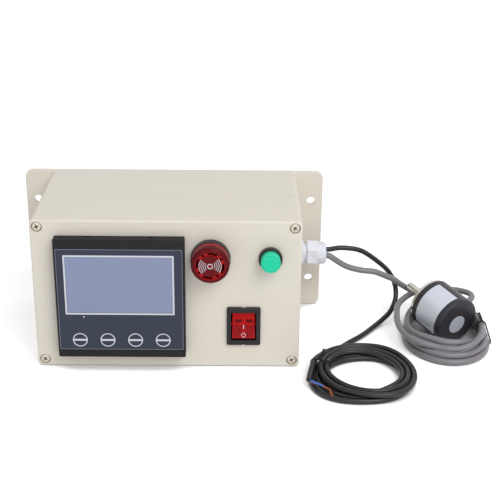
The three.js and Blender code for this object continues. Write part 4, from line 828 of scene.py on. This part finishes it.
# A pale grey for the film's edge line: a painted highlight.
film_edge_highlight = finish("film_edge_highlight", colour(120, 124, 136), 0.5, blotch=0.06, blotch_size=4 * mm, grain=0.1 * mm,
                  depth=0.004 * mm)
pale_ink = finish("pale_ink", colour(205, 208, 216), 0.5, blotch=0.06, blotch_size=4 * mm, grain=0.1 * mm,
                  depth=0.004 * mm)


def counter_bezel():
    corner, fillet = 1.2 * mm, 0.8 * mm
    front_wall = 3 * mm
    notch_width, notch_height = 4 * mm, 2.4 * mm
    body = block(counter_side, counter_side, corner, gap, counter_proud, fillet)
    inner = counter_side - 2 * bezel_wall
    cuts = [
        block(inner, inner, 0.5 * mm, gap - overrun, counter_proud - front_wall),
        block(film_width + 2 * gap, film_height + 2 * gap, 1.1 * mm, film_back - gap, counter_proud + overrun,
              centre=(0, -film_drop)),
        block(window_width, window_height, 0.3 * mm, gap, counter_proud + overrun, centre=window_centre),
        *(disc(key_radius + gap, film_back - 0.8 * mm, counter_proud, place) for place in key_places),
        *(disc(key_stem + gap, gap, counter_proud, place, 32) for place in key_places),
        *(block(notch_width, notch_height, 0.3 * mm, 1.1 * mm, 3.3 * mm,
                centre=(x * notch_across, y * counter_side / 2)) for x in (-1, 1) for y in (-1, 1)),
    ]
    return combined("bezel", body, cuts=cuts)


placed(counter_bezel(), counter_place, bezel_black, nodes=["counter_bezel"], soft=0.12 * mm)


def counter_film():
    sheet = block(film_width, film_height, 0.8 * mm, film_back, counter_proud, centre=(0, -film_drop))
    return combined("printed_film", sheet, cuts=[
        block(window_width, window_height, 0.3 * mm, film_back - overrun, counter_proud + overrun,
              centre=window_centre),
        *(disc(key_radius + key_slit, film_back - overrun, counter_proud + overrun, place)
          for place in key_places),
    ])


placed(counter_film(), counter_place, film_blue, nodes=["counter_film"], soft=0.06 * mm)


def display_glass():
    """The window's pane, with a wider flange behind the film."""
    slack = 0.2 * mm
    flange_reach = 4 * mm
    top = counter_proud - 0.12 * mm
    pane_back = top - 3.3 * mm
    flange_back, flange_front = top - 4.6 * mm, top - 3.2 * mm
    pane = block(window_width - slack, window_height - slack, 0.3 * mm, pane_back, top,
                 centre=window_centre)
    flange = block(window_width + flange_reach, window_height + flange_reach, 0.3 * mm, flange_back,
                   flange_front, centre=window_centre)
    return combined("display_glass", pane, adds=[flange])


placed(display_glass(), counter_place, display, nodes=["counter_glass"], soft=0.08 * mm)


def printed(name, mesh, ink):
    """A flat mark on the film: print, and on the film's edge a painted highlight."""
    placed(made_object(name, mesh), counter_place, ink, soft=0)


def border_print_or_highlight(name, outer, inner, centre, ink):
    """A frame between two outlines, each given by its width, height and corner: print, or a painted
    highlight.
    """
    printed(name, bordered(rounded_rectangle(*outer), rounded_rectangle(*inner),
                           counter_proud - ink_height, counter_proud + ink_height, centre), ink)


border_print_or_highlight("window_border", (window_width + 2.6 * mm, window_height + 2.7 * mm, 0.5 * mm),
               (window_width + 0.1 * mm, window_height + 0.1 * mm, 0.3 * mm), window_centre, pale_ink)
# The thin pale line round the film's edge is a painted highlight, not print.
border_print_or_highlight("film_edge", (film_width - 0.1 * mm, film_height - 0.1 * mm, 0.8 * mm),
               (film_width - 0.9 * mm, film_height - 0.9 * mm, 0.5 * mm), (0, -film_drop), film_edge_highlight)
printed("film_dot", disc(dot_radius, counter_proud, counter_proud + ink_height, dot_place, 32), pale_ink)


def ring(inner, outer, low, high, sides=96):
    return turned([(inner, low), (outer, low), (outer, high), (inner, high)], sides, closed=True)


def key_mark():
    """The pale ring with a bar across it that marks a press area."""
    low, high = counter_proud, counter_proud + ink_height
    bar = block(mark_bar_length, mark_bar_width, 0.1 * mm, low, high)
    return combined("key_mark", ring(mark_inside, mark_outside, low, high), adds=[bar])


for i, (x, y) in enumerate(key_places):
    key_place = counter_place @ Matrix.Translation((x, y, 0))
    pad = turned([(key_stem, 4.5 * mm), (key_stem, film_back), (key_radius, film_back),
                  (key_radius, counter_proud)], 96)
    placed(made_object(f"press_area_{i + 1}", pad), key_place, film_blue, body=f"key_{i + 1}",
           nodes=[f"counter_key_{i + 1}"], soft=0.05 * mm)
    mark = key_mark()
    mark.name = f"press_mark_{i + 1}"
    placed(mark, key_place, pale_ink, body=f"key_{i + 1}", soft=0)


# Buzzer. A black moulded body with a collar, held through the panel over a rubber seal, and
# a clear red lens pressed into it. Slots and holes in a ring let the sound out, round a
# printed sound sign.

buzzer_place = panel_place @ Matrix.Translation((*buzzer_centre, 0))
buzzer_back = -38 * mm
collar_radius = 14.8 * mm
collar_proud = 6.5 * mm
collar_back = 1.6 * mm
lens_radius = 14.2 * mm
lens_front = 16.5 * mm
ring_outer, ring_inner = 10.9 * mm, 8.3 * mm    # the sunk ring of slots
slot_radius = (ring_outer + ring_inner) / 2
seal_inside, seal_outside = 11.3 * mm, 14.6 * mm
seal_front = 1.3 * mm

# Its lighter edges are partly wear and partly a painted highlight.
gloss_black = finish("gloss_black", colour(30, 29, 32), 0.32, worn_and_highlit_edge_colour=colour(60, 59, 62), edge=0.4,
                     blotch=0.08, grain=0.25 * mm, depth=0.02 * mm, specular=0.25)
# The lens's lighter red edges are partly wear and partly a painted highlight.
lens_red = finish("lens_red", colour(86, 11, 18), 0.3, worn_and_highlit_edge_colour=colour(124, 18, 24), edge=0.3,
                  blotch=0.1, blotch_size=8 * mm, grain=0.3 * mm, depth=0.006 * mm, specular=0.1)
# A brighter red: beside the collar it is painted light coming through the clear lens; it also fills the sunk
# groove and the sound sign's centre.
bright_red = finish("bright_red", colour(156, 14, 18), 0.25, blotch=0.3, blotch_size=3 * mm,
                    grain=0.3 * mm, depth=0.01 * mm, specular=0.15)


def buzzer_body():
    bore = 7.4 * mm
    seat = 9 * mm
    end_wall = 3.2 * mm
    return made_object("buzzer_case", turned([
        (bore, buzzer_back + end_wall), (0.5 * mm, buzzer_back + end_wall), (0.5 * mm, buzzer_back),
        (buzzer_tube, buzzer_back), (buzzer_tube, collar_back), (collar_radius, collar_back),
        *rounded_edge(collar_radius, collar_proud, 0.8 * mm),
        (seat, collar_proud), (seat, collar_back), (bore, collar_back)], 96, closed=True))


placed(buzzer_body(), buzzer_place, gloss_black, nodes=["buzzer_body"])
placed(made_object("buzzer_gasket", ring(seal_inside, seal_outside, gap, seal_front)), buzzer_place,
       rubber, nodes=["buzzer_seal"], soft=0.2 * mm)


def arc_slot(radius, width, middle_angle, half_angle, low, high, steps=10):
    outline = []
    for reach, sweep in ((radius + width / 2, 1), (radius - width / 2, -1)):
        for i in range(steps + 1):
            angle = math.radians(middle_angle + sweep * half_angle * (2 * i / steps - 1))
            outline.append((reach * math.cos(angle), reach * math.sin(angle)))
    return skin([[(x, y, z) for x, y in outline] for z in (low, high)])


def buzzer_lens():
    back = collar_proud + gap
    skirt = (7.1 * mm, 8.7 * mm)
    lens_wall = 1.6 * mm
    inside = lens_radius - lens_wall
    groove = lens_front - 0.5 * mm
    body = turned([
        (inside, back + lens_wall), (skirt[0], back + lens_wall), (skirt[0], 3.2 * mm), (skirt[1], 3.2 * mm),
        (skirt[1], back), (lens_radius, back), (lens_radius, back + 3.2 * mm),
        *rounded_edge(lens_radius, lens_front, 2.6 * mm),
        (ring_outer, lens_front), (ring_outer - 0.2 * mm, groove), (ring_inner + 0.2 * mm, groove),
        (ring_inner, lens_front), (0.2 * mm, lens_front), (0.2 * mm, lens_front - lens_wall),
        (inside - 1 * mm, lens_front - lens_wall), (inside, lens_front - 2.6 * mm)], 120, closed=True)
    low, high = lens_front - 3 * mm, lens_front + overrun
    slots = [arc_slot(slot_radius, 1.7 * mm, -11 + 90 * i, 22, low, high) for i in range(4)]
    holes = [disc(1 * mm, low, high, (slot_radius * math.cos(angle), slot_radius * math.sin(angle)), 32)
             for angle in (math.radians(34 + 90 * i) for i in range(4))]
    return combined("buzzer_lens_cap", body, cuts=[*slots, *holes])


lens = placed(buzzer_lens(), buzzer_place, lens_red, nodes=["buzzer_lens"], soft=0.1 * mm)
# The lens's side next to the collar is painted brighter red, as light coming through the clear lens. The sunk
# groove of slots gets the same red.
lens.data.materials.append(bright_red)
for face in lens.data.polygons:
    away = buzzer_place.inverted() @ face.center
    in_groove = ring_inner < away.to_2d().length < ring_outer and away.z > lens_front - 1.5 * mm
    painted_glow_by_collar = away.to_2d().length > 13.5 * mm and away.z < collar_proud + 4.5 * mm
    if in_groove or painted_glow_by_collar:
        face.material_index = 1


def sound_sign():
    """Four pale arcs on either side of a small ring."""
    low, high = lens_front, lens_front + ink_height
    arcs = [arc_slot(radius * mm, 0.4 * mm, side + 4, 41, low, high, 16)
            for radius in (3.6, 5.1, 6.6, 8.1) for side in (0, 180)]
    return combined("sound_sign", ring(1.5 * mm, 2.1 * mm, low, high, 48), adds=arcs)


placed(sound_sign(), buzzer_place, pale_ink, soft=0)
placed(made_object("sound_sign_centre", disc(1.1 * mm, lens_front, lens_front + ink_height, sides=32)),
       buzzer_place, bright_red, soft=0)


# Reset button. A black collar screwed through the panel by its nut, and a bright green cap
# with a shallow ring near its rim, which slides in against its spring.

reset_place = panel_place @ Matrix.Translation((*reset_centre, 0))
reset_back = -24 * mm
reset_collar_radius = 8.8 * mm
reset_collar_front = 5 * mm
cap_radius = 7.3 * mm
cap_stem = 3.4 * mm
cap_under = 3.4 * mm
cap_front = 11.8 * mm
# Its lighter green edges are partly wear and partly a painted highlight.
green = finish("green_cap", colour(18, 203, 158), 0.3, worn_and_highlit_edge_colour=colour(110, 235, 190), edge=0.5,
               blotch=0.08, blotch_size=5 * mm, grain=0.3 * mm, depth=0.01 * mm, coat=0.1, specular=0.2)


def reset_collar():
    spring_well = 5.6 * mm
    well_floor = -9 * mm
    return made_object("reset_ring", turned([
        (cap_stem + gap, reset_back), (reset_tube, reset_back), (reset_tube, gap), (reset_collar_radius, gap),
        *rounded_edge(reset_collar_radius, reset_collar_front, 0.8 * mm),
        (cap_radius + gap, reset_collar_front), (cap_radius + gap, gap), (spring_well, gap),
        (spring_well, well_floor), (cap_stem + gap, well_floor)], 96, closed=True))


def reset_cap():
    groove = cap_front - 0.3 * mm
    return made_object("reset_button_cap", turned([
        (cap_stem, -21.2 * mm), (cap_stem, cap_under), (cap_radius, cap_under),
        (cap_radius, cap_front - 1 * mm), *rounded_edge(cap_radius, cap_front, 0.7 * mm)[1:],
        (6.45 * mm, cap_front), (6.35 * mm, groove), (6.05 * mm, groove), (5.9 * mm, cap_front),
        (0.5 * mm, cap_front + 0.15 * mm)], 96))


placed(reset_collar(), reset_place, gloss_black, nodes=["reset_collar"])
placed(reset_cap(), reset_place, green, body="reset_button", nodes=["reset_cap"],
       soft=0.06 * mm)


# Rocker switch. A black frame snapped into the panel, and a clear red rocker on a pin in it.
# Two dark strips lie on its upper face and ribs show through the lower one, which has the
# usual bar and ring for on and off. The lower face is a darker copy of the red: painted shade.

switch_place = panel_place @ Matrix.Translation((*rocker_centre, 0))
rocker_width = 17.3 * mm
rocker_half = 10.3 * mm
rocker_end = 1.3 * mm
rocker_fold = -0.76 * mm
rocker_pivot = -3.3 * mm
rocker_bottom = -9 * mm
rocker_swing = 22.6         # degrees
rocker_slope = math.atan2(rocker_end - rocker_fold, rocker_half)
rocker_pin = 1.5 * mm
switch_back = -24 * mm
switch_front = 2.3 * mm
# Its lighter red edges are partly wear and partly a painted highlight.
rocker_red = finish("rocker_red", colour(182, 10, 11), 0.22, worn_and_highlit_edge_colour=colour(205, 44, 40), edge=0.2,
                    blotch=0.12, blotch_size=4 * mm, grain=0.3 * mm, depth=0.006 * mm, specular=0.1)
# A darker copy of the rocker's red for its lower face: painted shade.
painted_shade_red = finish("painted_shade_red", colour(162, 18, 24), 0.22, blotch=0.12, blotch_size=4 * mm, grain=0.3 * mm,
                    depth=0.006 * mm, specular=0.1)
rib_red = finish("rib_red", colour(112, 10, 16), 0.3, blotch=0.15, blotch_size=4 * mm, specular=0.1)
deep_red = finish("deep_red", colour(96, 8, 12), 0.3, blotch=0.1, specular=0.1)


def switch_frame():
    width, height = 25.5 * mm, 31.5 * mm
    mouth_width, mouth_height = 19.3 * mm, 23.1 * mm
    rim = block(width, height, 1.2 * mm, gap, switch_front, 0.6 * mm, 4)
    body = block(frame_body_width, frame_body_height, 0.5 * mm, switch_back, 1.4 * mm)
    mouth = block(mouth_width, mouth_height, 0.4 * mm, switch_back + 1.3 * mm, switch_front + overrun)
    notches = [block(2.6 * mm, 1.2 * mm, 0.2 * mm, gap - overrun, switch_front + overrun,
                     centre=(0, end * height / 2)) for end in (-1, 1)]
    tab_slots = [block(1.4 * mm, 6.9 * mm, 0.1 * mm, switch_back - overrun, switch_back + 4.3 * mm,
                       centre=(x * 5 * mm, y * 6 * mm)) for x in (-1, 1) for y in (-1, 1)]
    pin_hole = moved(disc(rocker_pin + gap, -14 * mm, 14 * mm, sides=32), along_x(0, 0, rocker_pivot))
    return combined("switch_housing", rim, cuts=[mouth, *notches, *tab_slots, pin_hole], adds=[body])


placed(switch_frame(), switch_place, gloss_black, nodes=["switch_frame"])

rocker_turn = (
    Matrix.Translation((0, 0, rocker_pivot)) @ Matrix.Rotation(-math.radians(rocker_swing / 2), 4, "X")
    @ Matrix.Translation((0, 0, -rocker_pivot))
)


def rocker_outline():
    steps = 12
    reach = math.hypot(rocker_half, rocker_end - rocker_pivot)
    top = math.atan2(rocker_end - rocker_pivot, rocker_half)
    bottom = math.asin((rocker_bottom - rocker_pivot) / reach)
    points = [(0, rocker_fold)]
    for i in range(steps + 1):
        angle = top + (bottom - top) * i / steps
        points.append((reach * math.cos(angle), rocker_pivot + reach * math.sin(angle)))
    return points + [(-y, z) for y, z in reversed(points[1:])]


def rocker():
    outline = rocker_outline()
    body = skin([[(x, y, z) for y, z in outline] for x in (-rocker_width / 2, rocker_width / 2)])
    pin = moved(disc(rocker_pin, -10.7 * mm, 10.7 * mm, sides=32), along_x(0, 0, rocker_pivot))
    hollow = block(rocker_width - 3.2 * mm, 14 * mm, 0.5 * mm, rocker_bottom - overrun, -6.4 * mm)
    return combined("rocker", body, adds=[pin], cuts=[hollow])


paddle = rocker()
# The lower face, facing out below the fold, takes the darker red: painted shade.
paddle_shaded_faces = [face.index for face in paddle.data.polygons if face.normal.z > 0.8 and face.center.y < 0]
placed(paddle, switch_place @ rocker_turn, rocker_red, body="power_rocker",
       nodes=["switch_rocker"], soft=0.35 * mm)
paddle.data.materials.append(painted_shade_red)
for index in paddle_shaded_faces:
    paddle.data.polygons[index].material_index = 1


def rocker_point(side, across, along, out):
    """A point of the upper (1) or lower (-1) face, along it from the fold and out of it."""
    return (across, side * (along * math.cos(rocker_slope) - out * math.sin(rocker_slope)),
            rocker_fold + along * math.sin(rocker_slope) + out * math.cos(rocker_slope))


print_low, print_high = 0.01 * mm, 0.05 * mm    # out of the rocker's face


def strip(side, left, right, near, far, low=print_low, high=print_high):
    """A flat strip on a face of the rocker."""
    outline = ((left, near), (right, near), (right, far), (left, far))
    return skin([[rocker_point(side, x, s, out) for x, s in outline] for out in (low, high)])


def rocker_off_mark():
    middle_along = 8.2 * mm
    inside, outside = 1.35 * mm, 1.65 * mm
    sides = 48
    angles = [2 * math.pi * i / sides for i in range(sides)]
    section = ((inside, print_low), (outside, print_low), (outside, print_high), (inside, print_high))
    return skin([[rocker_point(-1, radius * math.cos(angle), middle_along + radius * math.sin(angle), out)
                  for angle in angles] for radius, out in section], closed=True)


def rocker_print(name, mesh, material):
    placed(made_object(name, mesh), switch_place @ rocker_turn, material,
           body="power_rocker", soft=0)


# Two dark red strips on the upper face.
dark_strip_sides = ((-6.6 * mm, -1.3 * mm), (1.6 * mm, 6.9 * mm))
dark_strip_near, dark_strip_far = 1.6 * mm, 4.3 * mm
for i, (left, right) in enumerate(dark_strip_sides):
    rocker_print(f"rocker_dark_strip_{i + 1}", strip(1, left, right, dark_strip_near, dark_strip_far), deep_red)
rib_count = 12
rib_pitch = 1.25 * mm
rib_far = 9.6 * mm
rib_low, rib_high = 0.005 * mm, 0.02 * mm
mark_room = 1.0 * mm        # no rib nearer to the middle, where the on mark is
bar_half = 0.3 * mm
bar_near = 0.5 * mm         # from the fold
for i in range(rib_count):
    x = (i - (rib_count - 1) / 2) * rib_pitch
    if abs(x) > mark_room:
        rocker_print(f"rocker_rib_{i + 1}", strip(
            -1, x - bar_half, x + bar_half, bar_near, rib_far, rib_low, rib_high), rib_red)
rocker_print("rocker_on", strip(-1, -bar_half, bar_half, bar_near, 3.3 * mm), pale_ink)
rocker_print("rocker_off", rocker_off_mark(), pale_ink)


# Cable gland. A pale nylon body through the right wall, held by a nut inside, and a domed
# cap that is screwed over it. It presses a rubber insert with two holes onto the cables.

gland_matrix = along_x(*gland_place)
gland_flats = 18.5 * mm
gland_thread = 7.7 * mm     # radius
# Its whiter edges are partly wear and partly a painted highlight.
nylon = finish("nylon", colour(216, 218, 227), 0.42, worn_and_highlit_edge_colour=colour(238, 240, 246), edge=0.5,
               blotch=0.03, blotch_size=10 * mm, grain=0.3 * mm)


def hexagon(flats, low, high):
    mesh = turned([(flats / math.sqrt(3), low), (flats / math.sqrt(3), high)], 6)
    bmesh.ops.rotate(mesh, verts=mesh.verts, cent=(0, 0, 0), matrix=Matrix.Rotation(math.pi / 3, 3, "Z"))
    return mesh


def gland_body():
    inner, outer = -12 * mm, 14.5 * mm
    hex_front = 6.2 * mm
    bore = 6.4 * mm
    return combined("gland_hex", hexagon(gland_flats, gap, hex_front), adds=[
        disc(gland_thread, inner, outer)], cuts=[disc(bore, inner - overrun, outer + 3.5 * mm)])


def gland_cap():
    back, shoulder = 9.3 * mm, 17.7 * mm
    dome_radius = gland_flats / 2
    mouth = 5.8 * mm
    dome = turned([(dome_radius, shoulder - overrun),
                   *rounded_edge(dome_radius, gland_mouth, 2.45 * mm, 8)], 96)
    return combined("gland_dome", hexagon(gland_flats, back, shoulder), adds=[dome], cuts=[
        disc(gland_thread + gap, back - 3.3 * mm, shoulder), disc(mouth, 8 * mm, gland_mouth + overrun)])


placed(gland_body(), gland_matrix, nylon, nodes=["gland_body"], soft=0.5 * mm)
placed(gland_cap(), gland_matrix, nylon, nodes=["gland_cap"], soft=0.5 * mm)


# Rotary sensor. A black coated cup over a turned flange of bright metal, whose neck holds
# the shaft in two bearings. A plain silver label goes round its side and a plain round one
# is on its back. The grey cable comes in at the side through a rubber boot.

housing_radius = 20 * mm
housing_length = 33 * mm
housing_inside = 18.4 * mm
housing_wall = housing_radius - housing_inside
shaft_radius = 3 * mm
shaft_end = 28 * mm
bearing_seat = 6.8 * mm     # radius
boot_neck = 3.6 * mm        # radius, in the hole of the housing's wall
label_front, label_back = -5.5 * mm, -27.8 * mm
label_start, label_sweep = -88, -118            # degrees round the housing
end_label_radius, end_label_place = 7.7 * mm, (-0.3 * mm, 1.5 * mm)
coated = finish("coated_black", colour(52, 50, 55), 0.34, blotch=0.15, blotch_size=12 * mm, grain=0.25 * mm,
                depth=0.03 * mm, spread=0.15, specular=0.22)
machined = finish("machined", colour(204, 202, 196), 0.25, blotch=0.3, blotch_size=2.5 * mm, metallic=1.0,
                  depth=0.01 * mm)
label_silver = finish("label_silver", colour(206, 211, 222), 0.3, blotch=0.08, blotch_size=8 * mm,
                      grain=0.2 * mm, depth=0.004 * mm, metallic=0.25)


def turning_group():
    """Height of the fine rings round an axis that a lathe tool leaves on a face."""
    group = bpy.data.node_groups.new("turning", "ShaderNodeTree")
    for name, kind in (
        ("Centre", "NodeSocketVector"), ("Axis", "NodeSocketVector"), ("Pitch", "NodeSocketFloat"),
    ):
        group.interface.new_socket(name=name, in_out="INPUT", socket_type=kind)
    group.interface.new_socket(name="Height", in_out="OUTPUT", socket_type="NodeSocketFloat")
    given = group.nodes.new("NodeGroupInput").outputs
    result = group.nodes.new("NodeGroupOutput").inputs
    place = group.nodes.new("ShaderNodeTexCoord").outputs["Object"]

    from_centre = group.nodes.new("ShaderNodeVectorMath")
    from_centre.operation = "SUBTRACT"
    group.links.new(place, from_centre.inputs[0])
    group.links.new(given["Centre"], from_centre.inputs[1])
    across = group.nodes.new("ShaderNodeVectorMath")
    across.operation = "CROSS_PRODUCT"
    group.links.new(from_centre.outputs["Vector"], across.inputs[0])
    group.links.new(given["Axis"], across.inputs[1])
    length = group.nodes.new("ShaderNodeVectorMath")
    length.operation = "LENGTH"
    group.links.new(across.outputs["Vector"], length.inputs[0])
    rings = group.nodes.new("ShaderNodeTexNoise")
    rings.noise_dimensions = "1D"
    rings.inputs["Scale"].default_value = 1.0
    group.links.new(math_node(group, "DIVIDE", length.outputs["Value"], given["Pitch"]), rings.inputs["W"])
    group.links.new(rings.outputs["Fac"], result["Height"])
    return group


turning = turning_group()


def add_turning(material, centre, axis, pitch):
    """Gives a finish the rings of a lathe tool in place of its grain."""
    tree = material.node_tree
    lathe = tree.nodes.new("ShaderNodeGroup")
    lathe.node_tree = turning
    lathe.inputs["Centre"].default_value = centre
    lathe.inputs["Axis"].default_value = axis
    lathe.inputs["Pitch"].default_value = pitch
    tree.links.new(lathe.outputs["Height"], tree.nodes["Bump"].inputs["Height"])


add_turning(machined, sensor_place.translation, sensor_place.to_3x3() @ Vector((0, 0, 1)), 0.12 * mm)


def sensor_housing():
    rear = [(radius, -height) for radius, height in rounded_edge(housing_radius, housing_length, 2 * mm, 8)]
    body = turned([
        (housing_inside, 0), (housing_radius - 0.4 * mm, 0), (housing_radius, -0.4 * mm), *rear,
        (0.3 * mm, -housing_length), (0.3 * mm, -housing_length + housing_wall),
        (housing_inside, -housing_length + housing_wall)], 128, closed=True)
    outlet = moved(disc(boot_neck + gap, housing_inside - overrun, housing_radius + overrun, sides=48),
                   along_x(0, 0, outlet_along))
    return combined("sensor_cover", body, cuts=[outlet])


def sensor_flange():
    face = 2.8 * mm
    back = -7.5 * mm
    plug = housing_inside - gap
    rim = 18.9 * mm
    neck = 10 * mm
    rib, rib_half = 5.4 * mm, 2.2 * mm
    hole_circle = 15 * mm
    body = turned([
        (bearing_seat, back), (plug, back), (plug, gap), (rim, gap), (rim, face), (neck, face),
        (neck, face + 5 * mm), (bearing_seat, face + 5 * mm), (bearing_seat, rib_half), (rib, rib_half),
        (rib, -rib_half), (bearing_seat, -rib_half)], 128, closed=True)
    holes = [disc(1.3 * mm, face - 4 * mm, face + overrun,
                  (hole_circle * math.cos(angle), hole_circle * math.sin(angle)), 32)
             for angle in (2 * math.pi * (i + 0.5) / 3 for i in range(3))]
    return combined("sensor_front", body, cuts=holes)


def sensor_shaft():
    body = turned([(shaft_radius, -13.5 * mm), (shaft_radius, shaft_end - 0.5 * mm),
                   (shaft_radius - 0.5 * mm, shaft_end)], 64)
    flat = block(8 * mm, 6 * mm, 0.3 * mm, 15 * mm, shaft_end + overrun, centre=(0, -5.5 * mm))
    return combined("shaft", body, cuts=[flat])


def sensor_boot():
    """A bush snapped into the wall, with ribs that get smaller along the cable."""
    bore = sensor_cord_diameter / 2 + 0.15 * mm
    return made_object("cable_boot", turned([
        (bore, 16.4 * mm), (4.4 * mm, 16.4 * mm), (4.4 * mm, 17.5 * mm), (boot_neck, 17.7 * mm),
        (boot_neck, 20.3 * mm), (4.4 * mm, 20.3 * mm), (4.4 * mm, 21.4 * mm), (4.1 * mm, 21.8 * mm),
        (4.15 * mm, 22.4 * mm), (3.8 * mm, 22.8 * mm), (3.9 * mm, 23.4 * mm), (3.6 * mm, 24.4 * mm),
        (bore, 24.5 * mm)], 64, closed=True))


placed(sensor_housing(), sensor_place, coated, nodes=["sensor_housing"])
placed(sensor_flange(), sensor_place, machined, nodes=["sensor_flange"], soft=0.2 * mm)
placed(sensor_shaft(), sensor_place, machined, body="sensor_rotor", nodes=["sensor_shaft"])
placed(sensor_boot(), sensor_place @ along_x(0, 0, outlet_along), rubber,
       nodes=["sensor_boot"], soft=0.1 * mm)


def side_label():
    """A label wrapped round the side of the housing, away from the cable."""
    columns = 60
    angles = [math.radians(label_start + label_sweep * i / columns) for i in range(columns + 1)]
    low, high = housing_radius + 0.02 * mm, housing_radius + 0.1 * mm
    section = ((low, label_front), (low, label_back), (high, label_back), (high, label_front))
    return made_object("side_label", skin([[(radius * math.cos(angle), radius * math.sin(angle), along)
                                            for radius, along in section] for angle in angles]))


placed(side_label(), sensor_place, label_silver, soft=0)
placed(made_object("end_label", disc(end_label_radius, -housing_length - 0.1 * mm,
                                     -housing_length - 0.01 * mm, end_label_place, 96)),
       sensor_place, label_silver, soft=0)


# Pieces inside. Boards, terminals, clips, nuts, contacts, springs and bearings that the case
# and the housing hide. They keep the solids of the frame, and each gets the finish of what
# it is made of.

brass = finish("brass", colour(190, 150, 86), 0.3, blotch=0.12, blotch_size=5 * mm, metallic=1.0,
               grain=0.2 * mm)
steel = finish("steel", colour(196, 197, 198), 0.26, blotch=0.08, blotch_size=5 * mm, metallic=1.0,
               grain=0.15 * mm, depth=0.01 * mm)
board_green = finish("board_green", colour(38, 98, 58), 0.45, blotch=0.25, blotch_size=3 * mm, grain=0.5 * mm)
hidden_pieces = {
    rubber: ["case_gasket", "gland_insert"],
    bezel_black: ["counter_case", "counter_clip_left", "counter_clip_right", "buzzer_nut", "reset_nut",
                  "reset_contacts"],
    board_green: ["counter_board", "counter_terminals", "sensor_board"],
    nylon: ["gland_locknut"],
    brass: ["buzzer_sounder", "code_hub", *(f"switch_tab_{i}" for i in (1, 2, 3, 4))],
    steel: ["reset_spring", "front_bearing_outer", "front_bearing_inner", "rear_bearing_outer",
            "rear_bearing_inner", "code_disc"],
}
for material, names in hidden_pieces.items():
    for name in names:
        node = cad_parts[name]
        node.data.materials.clear()
        node.data.materials.append(material)


# Room and light. A white floor under an even white sky, a broad soft light from above on the
# right, and a weak one from the front.

sky_strength = 0.62


def seen_directly(tree):
    """One for what the camera, a reflection or a clear piece sees, and nought for light."""
    rays = tree.nodes.new("ShaderNodeLightPath")
    return math_node(tree, "MAXIMUM", rays.outputs["Is Camera Ray"], math_node(
        tree, "MAXIMUM", rays.outputs["Is Glossy Ray"], rays.outputs["Is Transmission Ray"]))


def white_ground(name, strength):
    """White paper that a camera or a reflection sees as full white where it isn't covered."""
    material = bpy.data.materials.new(name)
    material.use_nodes = True
    tree = material.node_tree
    shader = tree.nodes["Principled BSDF"]
    shader.inputs["Base Color"].default_value = (0.86, 0.86, 0.87, 1)
    shader.inputs["Roughness"].default_value = 0.9
    shader.inputs["Emission Color"].default_value = (1, 1, 1, 1)
    open_sky = tree.nodes.new("ShaderNodeAmbientOcclusion")
    open_sky.inputs["Distance"].default_value = 30 * mm
    open_part = tree.nodes.new("ShaderNodeMapRange")
    open_part.inputs["From Min"].default_value = 0.38
    open_part.inputs["From Max"].default_value = 0.52
    tree.links.new(open_sky.outputs["AO"], open_part.inputs["Value"])
    lit = math_node(tree, "MULTIPLY", seen_directly(tree), open_part.outputs["Result"])
    tree.links.new(math_node(tree, "MULTIPLY", lit, strength), shader.inputs["Emission Strength"])
    return material


floor_mesh = bmesh.new()
bmesh.ops.create_grid(floor_mesh, x_segments=1, y_segments=1, size=4)
floor = made_object("floor", floor_mesh)
floor.location = (0, 1, -0.0002)
floor.data.materials.append(white_ground("floor_white", 0.4))

world = bpy.data.worlds.new("sky")
world.use_nodes = True
sky = world.node_tree.nodes["Background"]
sky.inputs["Color"].default_value = (1, 1, 1, 1)
lift = math_node(world.node_tree, "MULTIPLY", seen_directly(world.node_tree), 1 - sky_strength)
world.node_tree.links.new(math_node(world.node_tree, "ADD", lift, sky_strength), sky.inputs["Strength"])
bpy.context.scene.world = world


def soft_light(name, place, target, size, power):
    lamp = bpy.data.lights.new(name, "AREA")
    lamp.shape = "DISK"
    lamp.size = size
    lamp.energy = power
    made = bpy.data.objects.new(name, lamp)
    made.location = place
    made.rotation_euler = (Vector(target) - Vector(place)).to_track_quat("-Z", "Y").to_euler()
    bpy.context.scene.collection.objects.link(made)


lit_place = (0.05, 0, 0.05)
lamp_size = 1.2
soft_light("key", (0.75, -1.1, 1.45), lit_place, lamp_size, 18)
soft_light("fill", (0.1, -1.6, 0.7), lit_place, lamp_size, 2.2)

bpy.context.scene.view_settings.view_transform = "Standard"
